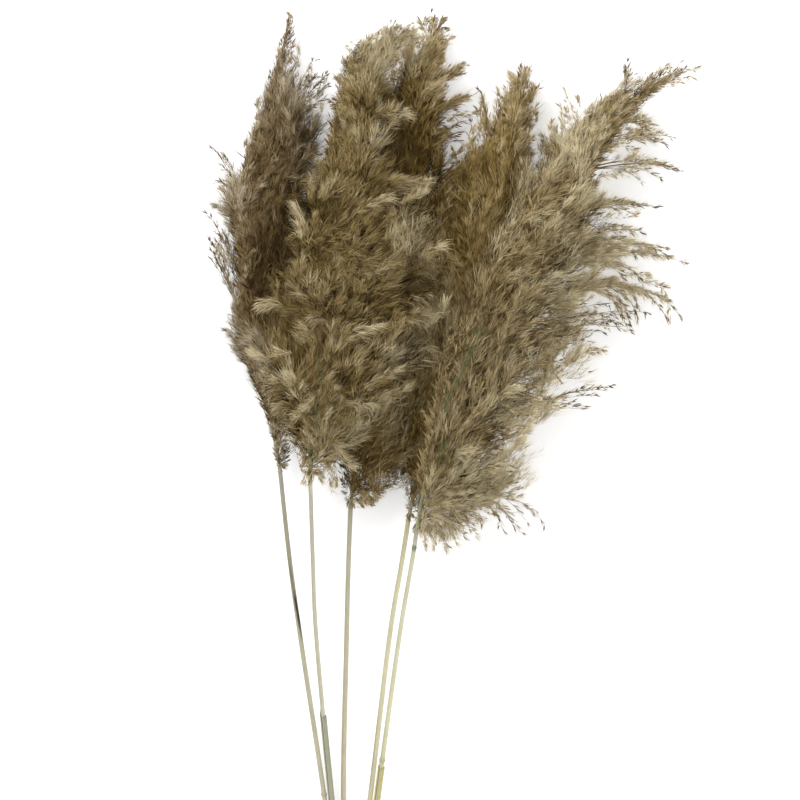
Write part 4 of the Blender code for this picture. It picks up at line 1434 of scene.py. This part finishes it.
def stem_marks(stem, tint, shares):
    """Lays a painted shade down one side of the culm, its darker node rings and its marks over the tint."""
    rings = len(shares)
    tint = tint.copy()
    body = tint[:rings * STEM_SIDES].reshape(rings, STEM_SIDES, 3)
    round_culm = np.arange(STEM_SIDES) / STEM_SIDES * 2 * math.pi
    # Painted shade: one side of each culm is darker than the other, as if the light fell on it from one
    # side.
    body *= (STRAW_DEPTH * (1 - PAINTED_SIDE_SHADE * np.cos(round_culm)))[None, :, None]
    for node in stem.nodes:
        near = np.exp(-((shares - node) / NODE_COLOUR_RUN) ** 2)[:, None, None] * NODE_COLOUR_AMOUNT
        body += (NODE_COLOUR - body) * near
    coarse, fine = MARK_WAVES
    for mark in MARKS:
        if mark.stem != stem.name:
            continue
        along = np.clip(np.minimum(shares - mark.start, mark.end - shares) / mark.fade, 0, 1)
        turned = np.interp(shares, (mark.start, mark.end), (mark.turn, mark.turn_end))[:, None]
        facing = (np.cos(round_culm[None] - turned) - 1) * MARK_SHARPNESS + mark.width
        ripple = np.sin(shares * fine) * np.sin(shares * coarse)
        ragged = np.clip(1 - mark.ragged * (MARK_EVEN - ripple), 0, 1)
        strength = (along * ragged * mark.amount)[:, None, None] * np.clip(facing, 0, 1)[:, :, None]
        body += (np.array(mark.colour) - body) * strength
    return tint


def paint(mesh, tint):
    """Stores a colour for each point, which the straw material reads."""
    layer = mesh.color_attributes.new("Tint", "FLOAT_COLOR", "POINT")
    values = np.ones((len(tint), 4), np.float32)
    values[:, :3] = tint
    layer.data.foreach_set("color", values.ravel())


def sheath_mesh(name, stem, plume, start, tear_depth):
    """A dried leaf sheath: a rolled strip with thickness, open along a seam, with a torn rim."""
    line = stem_line(stem, plume, np.linspace(start, SHEATH_END, SHEATH_STEPS))
    along = unit(np.gradient(line, axis=0))
    right = unit(np.cross(along, UP))
    up = np.cross(right, along)
    strip = np.arange(SHEATH_SIDES + 1)
    from_front = SHEATH_WRAP * (strip / SHEATH_SIDES - 0.5)
    angle = from_front + SHEATH_FRONT
    spread = right[:, None] * np.cos(angle)[:, None] + up[:, None] * np.sin(angle)[:, None]
    tear = tear_depth * np.exp(-((from_front - TEAR_PLACE) / TEAR_WIDTH) ** 2)
    tear = tear + TEAR_NOTCH * np.sin(from_front * TEAR_NOTCHES)
    torn = np.clip(1 - np.arange(SHEATH_STEPS) / TEAR_STEPS, 0, 1)
    inner_radius = STEM_RADIUS * stem.girth + SHEATH_ROOM
    skins = []
    for radius in (inner_radius, inner_radius + SHEATH_WALL):
        ribs = radius + SHEATH_RIB * np.cos(strip * math.pi)
        skin = line[:, None] + spread * ribs[None, :, None]
        skin -= along[:, None] * (torn[:, None] * tear[None])[:, :, None]
        skins.append(skin.reshape(-1, 3))
    count = SHEATH_STEPS * len(strip)
    grid = np.arange(count).reshape(SHEATH_STEPS, len(strip))
    low, high = grid[:-1, :-1], grid[1:, 1:]
    halves = ((low, grid[:-1, 1:], high), (low, high, grid[1:, :-1]))
    outer = np.concatenate([np.stack(corners, -1).reshape(-1, 3) for corners in halves])
    edge = np.concatenate((grid[0], grid[1:, -1], grid[-1, -2::-1], grid[-2:0:-1, 0]))
    after = np.roll(edge, -1)
    halves = ((edge, after + count, after), (edge, edge + count, after + count))
    rim = np.concatenate([np.stack(corners, 1) for corners in halves])
    return mesh_from(name, np.concatenate(skins), np.concatenate((outer[:, ::-1], outer + count, rim)))


# Materials

# The shades at which a hair's colour goes over into the next
MIDDLE_SHADES = (0.15, 0.50)
PALE_SHADES = (0.50, 0.98)
HUSK_EDGE = (0.11, 0.14)
GREEN_EDGE = (0.976, 0.980)

# How a hair changes along it, and its gloss. The darker root is partly the hair's own brown and partly
# painted shade deep in the tuft.
ROOT_RUN = 0.85
TIP_LIFT = 1.04
FIBRE_LOOKS = {"Root Darkness": 0.66, "Tip Paleness": 0.13}
HAIR_GLOSS = {"Roughness": 0.75, "Specular IOR Level": 0.02}

# The lines and blotches of straw
LINE_STRETCH = (1.0, 0.03, 1.0)
LINE_DETAIL = 3.0
BLOTCH_DETAIL = 4.0
BLOTCHES_ACROSS = 45.0
BLOTCH_AMOUNT = 0.6
BOTH_RANGE = (0.5, 1.1)
STRAW_ROUGHNESS = (0.38, 0.66)
STRAW_BUMP = {"Strength": 0.35, "Distance": 0.0003}
STRAW_GLOSS = {"Specular IOR Level": 0.4}

# The contrast of the lines, and how many there are across a metre
STEM_LINES = (0.16, 1500.0)
BRANCH_LINES = (0.25, 900.0)


def new_material(name):
    """A material with its nodes, its links and its shader."""
    material = bpy.data.materials.new(name)
    material.use_nodes = True
    nodes = material.node_tree.nodes
    return material, nodes, material.node_tree.links, nodes["Principled BSDF"]


def set_values(node, values):
    """Sets some of a node's sockets by their names. A colour of three parts gets its alpha."""
    for name, value in values.items():
        is_colour = node.inputs[name].type == "RGBA"
        node.inputs[name].default_value = (*value[:3], 1.0) if is_colour else value


def add_node(nodes, kind, values=None, **fields):
    """Adds a node with values for some of its sockets and fields."""
    node = nodes.new("ShaderNode" + kind)
    for name, value in fields.items():
        setattr(node, name, value)
    set_values(node, values or {})
    return node


def new_group(name, inputs, outputs):
    """A node group with sockets named after their kinds, its nodes and links, and what goes in and out."""
    group = bpy.data.node_groups.new(name, "ShaderNodeTree")
    for way, sockets in (("INPUT", inputs), ("OUTPUT", outputs)):
        for socket, kind in sockets.items():
            group.interface.new_socket(socket, in_out=way, socket_type="NodeSocket" + kind)
    given = group.nodes.new("NodeGroupInput").outputs
    return group, group.nodes, group.links, given, group.nodes.new("NodeGroupOutput").inputs


def fibre_group():
    """A group that gives a hair's colour from its place on the colour map: along it, and its shade."""
    inputs = dict.fromkeys(("Deep", "Middle", "Pale", "Husk", "Green"), "Color")
    inputs.update({"Root Darkness": "Float", "Tip Paleness": "Float"})
    group, nodes, links, given, wanted = new_group("Fibre Colour", inputs, {"Colour": "Color"})
    place = add_node(nodes, "UVMap", uv_map="OFBake")
    split = add_node(nodes, "SeparateXYZ")
    links.new(place.outputs["UV"], split.inputs[0])

    def ramp(source, low, high):
        """Goes softly from 0 to 1 between two values of a socket."""
        values = {"From Min": low, "From Max": high}
        node = add_node(nodes, "MapRange", values, interpolation_type="SMOOTHSTEP")
        links.new(source, node.inputs["Value"])
        return node.outputs["Result"]

    def mix(factor, first, second):
        """Goes from the first colour to the second with the factor."""
        node = add_node(nodes, "Mix", data_type="RGBA")
        for socket, source in zip(("Factor", "A", "B"), (factor, first, second)):
            links.new(source, node.inputs[socket])
        return node.outputs["Result"]

    shade = split.outputs["Y"]
    along = ramp(split.outputs["X"], 0.0, ROOT_RUN)
    paler = add_node(nodes, "Math", operation="MULTIPLY_ADD")
    for number, source in enumerate((along, given["Tip Paleness"], shade)):
        links.new(source, paler.inputs[number])
    colour = mix(ramp(paler.outputs[0], *MIDDLE_SHADES), given["Deep"], given["Middle"])
    colour = mix(ramp(paler.outputs[0], *PALE_SHADES), colour, given["Pale"])
    # Painted shade in part: each hair darkens from its tip to its root, which lies deep in the tuft.
    lift = add_node(nodes, "MapRange", {"To Max": TIP_LIFT})
    links.new(along, lift.inputs["Value"])
    links.new(given["Root Darkness"], lift.inputs["To Min"])
    scale = add_node(nodes, "VectorMath", operation="SCALE")
    links.new(colour, scale.inputs[0])
    links.new(lift.outputs["Result"], scale.inputs["Scale"])
    result = mix(ramp(shade, *HUSK_EDGE), given["Husk"], scale.outputs["Vector"])
    links.new(mix(ramp(shade, *GREEN_EDGE), result, given["Green"]), wanted["Colour"])
    return group


def straw_group():
    """A group of fine lines along the culm, over the tint that is stored in the mesh."""
    inputs = {"Tint": "Color", "Lines Across": "Float", "Contrast": "Float"}
    outputs = {"Colour": "Color", "Height": "Float", "Roughness": "Float"}
    group, nodes, links, given, wanted = new_group("Straw Lines", inputs, outputs)
    place = add_node(nodes, "TexCoord").outputs["Object"]
    stretch = add_node(nodes, "Mapping", {"Scale": LINE_STRETCH})
    links.new(place, stretch.inputs["Vector"])
    lines = add_node(nodes, "TexNoise", {"Detail": LINE_DETAIL})
    links.new(stretch.outputs["Vector"], lines.inputs["Vector"])
    links.new(given["Lines Across"], lines.inputs["Scale"])
    blotches = add_node(nodes, "TexNoise", {"Scale": BLOTCHES_ACROSS, "Detail": BLOTCH_DETAIL})
    links.new(place, blotches.inputs["Vector"])
    both = add_node(nodes, "Math", operation="MULTIPLY_ADD")
    both.inputs[1].default_value = BLOTCH_AMOUNT
    links.new(blotches.outputs["Fac"], both.inputs[0])
    links.new(lines.outputs["Fac"], both.inputs[2])
    gain = add_node(nodes, "MapRange", {"From Min": BOTH_RANGE[0], "From Max": BOTH_RANGE[1]})
    links.new(both.outputs[0], gain.inputs["Value"])
    for operation, end in (("SUBTRACT", "To Min"), ("ADD", "To Max")):
        node = add_node(nodes, "Math", operation=operation)
        node.inputs[0].default_value = 1.0
        links.new(given["Contrast"], node.inputs[1])
        links.new(node.outputs[0], gain.inputs[end])
    scale = add_node(nodes, "VectorMath", operation="SCALE")
    links.new(given["Tint"], scale.inputs[0])
    links.new(gain.outputs["Result"], scale.inputs["Scale"])
    rough = add_node(nodes, "MapRange", {"To Min": STRAW_ROUGHNESS[0], "To Max": STRAW_ROUGHNESS[1]})
    links.new(lines.outputs["Fac"], rough.inputs["Value"])
    links.new(scale.outputs["Vector"], wanted["Colour"])
    links.new(lines.outputs["Fac"], wanted["Height"])
    links.new(rough.outputs["Result"], wanted["Roughness"])
    return group


def group_for(name, maker):
    """The node group of that name, which is made where there is none yet."""
    return bpy.data.node_groups.get(name) or maker()


def fluff_material(plume, settings):
    """Silky dried hair: the fibre colours of one plume, hardly glossy."""
    material, nodes, links, shader = new_material(plume.name + "_hair")
    fibre = add_node(nodes, "Group", node_tree=group_for("Fibre Colour", fibre_group))
    for part in ("Deep", "Middle", "Pale"):
        set_values(fibre, {part: getattr(settings, f"{plume.name}_{part.lower()}")})
    set_values(fibre, {"Husk": settings.husk_colour, "Green": settings.green_colour} | FIBRE_LOOKS)
    links.new(fibre.outputs["Colour"], shader.inputs["Base Color"])
    set_values(shader, HAIR_GLOSS)
    return material


def straw_material(name, tint, contrast, lines_across):
    """Satin straw with lines along it. Tint is a colour, or None where the mesh stores its own."""
    material, nodes, links, shader = new_material(name)
    values = {"Lines Across": lines_across, "Contrast": contrast}
    straw = add_node(nodes, "Group", node_tree=group_for("Straw Lines", straw_group))
    set_values(straw, values)
    if tint is None:
        stored = add_node(nodes, "Attribute", attribute_name="Tint")
        links.new(stored.outputs["Color"], straw.inputs["Tint"])
    else:
        set_values(straw, {"Tint": tint})
    bump = add_node(nodes, "Bump", STRAW_BUMP)
    links.new(straw.outputs["Height"], bump.inputs["Height"])
    links.new(bump.outputs["Normal"], shader.inputs["Normal"])
    links.new(straw.outputs["Colour"], shader.inputs["Base Color"])
    links.new(straw.outputs["Roughness"], shader.inputs["Roughness"])
    set_values(shader, STRAW_GLOSS)
    return material


# The add-on

PLUME_SLOTS = ("plume_dark", "plume_olive", "plume_dark", "plume_warm", "plume_light")
LEAF_LINES = 1300.0
FLOOR_SIZE = 12.0
FLOOR_DIVISIONS = 8
FLOOR_GRAIN = 400.0
FLOOR_GRAIN_DEPTH = 0.985
FLOOR_ROUGHNESS = 0.9
WHITE = (1.0, 1.0, 1.0)
LIGHT_TARGET = (0.0, 0.1, 0.0)
KEY_PLACE = (-0.9, 1.5, 1.7)
KEY_SIZE = 1.2
FILL_PLACE = (1.4, -0.6, 1.8)
FILL_SIZE = 1.6
VIEW_CENTRE = (-0.048, 0.046)
SENSOR_WIDTH = 36.0


@dataclass
class Sheath:
    """A leaf sheath: its names, the number of its stem, its start as a share of that, and its tear."""
    name: str
    leaf: str
    slot: str
    node: str
    stem: int
    start: float
    tear: float
    contrast: float


SHEATHS = (
    Sheath("green_sheath", "green_leaf", "sheath_green", "sheath_2", 1, 0.62, 9.0, 0.18),
    Sheath("yellow_sheath", "yellow_leaf", "sheath_yellow", "sheath_5", 4, 0.695, 3.0, 0.20),
)


def colour(name, description, value):
    """A colour that a user can change, as a linear value."""
    return FloatVectorProperty(
        name=name, description=description, subtype="COLOR", size=3, min=0.0, max=1.0, default=value,
    )


class PampasFluffSettings(PropertyGroup):
    """Sizes and colours of the plumes."""
    hair_length: FloatProperty(
        name="Hair length", description="Length of a silky hair", default=0.0120, unit="LENGTH",
    )
    hair_width: FloatProperty(
        name="Hair width", description="Width of a hair at its middle", default=0.00040, unit="LENGTH",
    )
    husk_length: FloatProperty(
        name="Husk length", description="Length of a spikelet's brown husk", default=0.0062, unit="LENGTH",
    )
    tuft_spacing: FloatProperty(
        name="Tuft spacing", description="Distance between tufts along a side branch",
        default=0.0062, unit="LENGTH",
    )
    fine_branches: IntProperty(
        name="Fine branches", description="Side branches of a plume besides its main ones", default=58,
    )
    body_tufts: IntProperty(
        name="Body tufts", description="Tufts of hair all through the body of a plume", default=6000,
    )
    locks: IntProperty(
        name="Locks", description="Locks of fluff at the ends of a plume's side branches", default=420,
    )
    inner_bracts: IntProperty(
        name="Inner bracts", description="Broad dark bracts deep inside a plume", default=9000,
    )
    curved_share: FloatProperty(
        name="Curved hairs", description="Share of the fluff's faces that goes to curved hairs",
        default=0.3, min=0.0, max=1.0,
    )
    husk_colour: colour("Husks", "Brown of the spikelets' husks", (0.130, 0.080, 0.036))
    green_colour: colour("Green strands", "Strands still a little green", (0.120, 0.130, 0.055))
    plume_1_deep: colour("Plume 1 deep", "Inner hairs of the left plume", (0.064, 0.038, 0.012))
    plume_1_middle: colour("Plume 1 middle", "Most hairs of the left plume", (0.272, 0.186, 0.084))
    plume_1_pale: colour("Plume 1 pale", "Lightest hairs of the left plume", (0.640, 0.540, 0.370))
    plume_2_deep: colour("Plume 2 deep", "Inner hairs of the second plume", (0.088, 0.056, 0.014))
    plume_2_middle: colour("Plume 2 middle", "Most hairs of the second plume", (0.368, 0.266, 0.110))
    plume_2_pale: colour("Plume 2 pale", "Lightest hairs of the second plume", (0.680, 0.575, 0.350))
    plume_3_deep: colour("Plume 3 deep", "Inner hairs of the third plume", (0.067, 0.041, 0.009))
    plume_3_middle: colour("Plume 3 middle", "Most hairs of the third plume", (0.272, 0.182, 0.062))
    plume_3_pale: colour("Plume 3 pale", "Lightest hairs of the third plume", (0.640, 0.515, 0.290))
    plume_4_deep: colour("Plume 4 deep", "Inner hairs of the fourth plume", (0.097, 0.058, 0.012))
    plume_4_middle: colour("Plume 4 middle", "Most hairs of the fourth plume", (0.378, 0.263, 0.095))
    plume_4_pale: colour("Plume 4 pale", "Lightest hairs of the fourth plume", (0.665, 0.530, 0.295))
    plume_5_deep: colour("Plume 5 deep", "Inner hairs of the right plume", (0.127, 0.085, 0.027))
    plume_5_middle: colour("Plume 5 middle", "Most hairs of the right plume", (0.460, 0.348, 0.176))
    plume_5_pale: colour("Plume 5 pale", "Lightest hairs of the right plume", (0.765, 0.655, 0.410))


class PampasStrawSettings(PropertyGroup):
    """Colours of the straw and the dried leaves."""
    branch_colour: colour("Side branches", "Thin branches inside the plumes", (0.200, 0.150, 0.070))
    stalk_colour: colour("Stalks", "Stalks inside the plumes", (0.340, 0.340, 0.200))
    green_sheath: colour("Green sheath", "Grey green leaf sheath", (0.315, 0.325, 0.225))
    yellow_sheath: colour("Yellow sheath", "Yellow leaf sheath", (0.530, 0.460, 0.200))


class PampasStageSettings(PropertyGroup):
    """Camera, lights and floor."""
    camera_height: FloatProperty(
        name="Camera height", description="Height of the camera above the floor",
        default=2.46, unit="LENGTH",
    )
    focal_length: FloatProperty(
        name="Focal length", description="Focal length in millimetres on a 36 mm sensor", default=120.0,
    )
    key_power: FloatProperty(
        name="Key light", description="Power of the key light in watts", default=30.0, min=0.0,
    )
    fill_power: FloatProperty(
        name="Fill light", description="Power of the fill light in watts", default=9.0, min=0.0,
    )
    sky_strength: FloatProperty(
        name="Sky", description="Strength of the even light all round", default=0.86, min=0.0,
    )
    floor_colour: colour("Floor", "Colour of the plain pale floor", (0.80, 0.80, 0.80))
    floor_glow: FloatProperty(
        name="Floor glow", description="Light that the floor gives itself", default=0.40, min=0.0,
    )


class PAMPAS_OT_fluff(Operator):
    """Grow the silky fluff of the five plumes"""
    bl_idname = "pampas.fluff"
    bl_label = "Plume Fluff"

    def execute(self, context):
        settings = context.scene.pampas_fluff
        for plume, slot in zip(PLUMES, PLUME_SLOTS):
            mesh = fluff_mesh(plume, settings)
            add_piece(mesh, fluff_material(plume, settings), (plume.name,))
        return {"FINISHED"}


class PAMPAS_OT_branches(Operator):
    """Make the stalk and the side branches inside each plume"""
    bl_idname = "pampas.branches"
    bl_label = "Plume Branches"

    def execute(self, context):
        settings = context.scene.pampas_straw
        fluff = context.scene.pampas_fluff
        brown = straw_material("branch_straw", None, *BRANCH_LINES)
        for plume in PLUMES:
            add_piece(rachis_mesh(plume, fluff, settings), brown)
        return {"FINISHED"}


class PAMPAS_OT_stems(Operator):
    """Make the five straw stems"""
    bl_idname = "pampas.stems"
    bl_label = "Straw Stems"

    def execute(self, context):
        straw = straw_material("stem_straw", None, *STEM_LINES)
        for stem, plume in zip(STEMS, PLUMES):
            add_piece(stem_mesh(stem, plume), straw, (stem.name,))
        return {"FINISHED"}


class PAMPAS_OT_sheaths(Operator):
    """Make the two dried leaf sheaths"""
    bl_idname = "pampas.sheaths"
    bl_label = "Leaf Sheaths"

    def execute(self, context):
        settings = context.scene.pampas_straw
        for sheath in SHEATHS:
            tint = getattr(settings, sheath.name)
            leaf = straw_material(sheath.leaf, tint, sheath.contrast, LEAF_LINES)
            stem, plume = STEMS[sheath.stem], PLUMES[sheath.stem]
            mesh = sheath_mesh(sheath.name, stem, plume, sheath.start, sheath.tear)
            add_piece(mesh, leaf, (sheath.node,))
        return {"FINISHED"}


def add_area_light(name, place, size, power):
    """A round soft light that shines on the middle of the bunch."""
    light = bpy.data.lights.new(name, "AREA")
    light.shape = "DISK"
    light.size = size
    light.energy = power
    lamp = bpy.data.objects.new(name, light)
    lamp.location = place
    lamp.rotation_euler = (Vector(LIGHT_TARGET) - Vector(place)).to_track_quat("-Z", "Y").to_euler()
    bpy.context.scene.collection.objects.link(lamp)


class PAMPAS_OT_stage(Operator):
    """Set up the floor, the soft light and the camera"""
    bl_idname = "pampas.stage"
    bl_label = "Stage"

    def execute(self, context):
        settings = context.scene.pampas_stage
        scene = context.scene
        scene.view_settings.view_transform = "Standard"
        scene.view_settings.look = "None"

        self.add_floor(settings)
        self.add_lights(scene, settings)
        self.add_camera(scene, settings)
        return {"FINISHED"}

    def add_floor(self, settings):
        """A sheet of white paper that glows a little, so that it stays white."""
        divisions = {"x_subdivisions": FLOOR_DIVISIONS, "y_subdivisions": FLOOR_DIVISIONS}
        bpy.ops.mesh.primitive_grid_add(**divisions, size=FLOOR_SIZE)
        floor = bpy.context.object
        floor.name = "studio_floor"
        material, nodes, links, shader = new_material("floor_paper")
        grain = add_node(nodes, "TexNoise", {"Scale": FLOOR_GRAIN})
        darker = [part * FLOOR_GRAIN_DEPTH for part in settings.floor_colour]
        tone = add_node(nodes, "Mix", data_type="RGBA")
        tone.inputs["A"].default_value = (*darker, 1.0)
        tone.inputs["B"].default_value = (*settings.floor_colour, 1.0)
        links.new(grain.outputs["Fac"], tone.inputs["Factor"])
        links.new(tone.outputs["Result"], shader.inputs["Base Color"])
        glow = {"Emission Color": WHITE, "Emission Strength": settings.floor_glow}
        set_values(shader, {"Roughness": FLOOR_ROUGHNESS} | glow)
        floor.data.materials.append(material)

    def add_lights(self, scene, settings):
        """A white sky, and two soft lights over the bunch."""
        world = bpy.data.worlds.new("soft_sky")
        world.use_nodes = True
        sky = world.node_tree.nodes["Background"]
        set_values(sky, {"Color": WHITE, "Strength": settings.sky_strength})
        scene.world = world
        add_area_light("key_light", KEY_PLACE, KEY_SIZE, settings.key_power)
        add_area_light("fill_light", FILL_PLACE, FILL_SIZE, settings.fill_power)

    def add_camera(self, scene, settings):
        """A camera that looks straight down on the bunch."""
        camera = bpy.data.cameras.new("photo_camera")
        camera.lens = settings.focal_length
        camera.sensor_width = SENSOR_WIDTH
        viewer = bpy.data.objects.new("photo_camera", camera)
        x, y = VIEW_CENTRE
        viewer.location = (x + SHIFT[0] * MM, y + SHIFT[1] * MM, settings.camera_height)
        scene.collection.objects.link(viewer)
        scene.camera = viewer


class PAMPAS_PT_panel(Panel):
    """Lists the steps that dress the bunch"""
    bl_idname = "PAMPAS_PT_panel"
    bl_label = "Dried Pampas Bunch"
    bl_space_type = "VIEW_3D"
    bl_region_type = "UI"
    bl_category = "Pampas"

    def draw(self, context):
        for operator in OPERATORS:
            self.layout.operator(operator.bl_idname)


SETTINGS = (
    ("pampas_fluff", PampasFluffSettings),
    ("pampas_straw", PampasStrawSettings),
    ("pampas_stage", PampasStageSettings),
)
OPERATORS = (PAMPAS_OT_stage, PAMPAS_OT_fluff, PAMPAS_OT_branches, PAMPAS_OT_stems, PAMPAS_OT_sheaths)


def register():
    """Registers the settings, the operators and the panel."""
    for name, settings in SETTINGS:
        bpy.utils.register_class(settings)
        setattr(bpy.types.Scene, name, PointerProperty(type=settings))
    for operator in OPERATORS:
        bpy.utils.register_class(operator)
    bpy.utils.register_class(PAMPAS_PT_panel)


def unregister():
    """Takes the panel, the operators and the settings away again."""
    bpy.utils.unregister_class(PAMPAS_PT_panel)
    for operator in reversed(OPERATORS):
        bpy.utils.unregister_class(operator)
    for name, settings in reversed(SETTINGS):
        delattr(bpy.types.Scene, name)
        bpy.utils.unregister_class(settings)


def main():
    """Builds the bunch and its stage."""
    register()
    bpy.ops.pampas.stage()
    bpy.ops.pampas.fluff()
    bpy.ops.pampas.branches()
    bpy.ops.pampas.stems()
    bpy.ops.pampas.sheaths()
    bpy.context.view_layer.update()


if __name__ == "__main__":
    main()
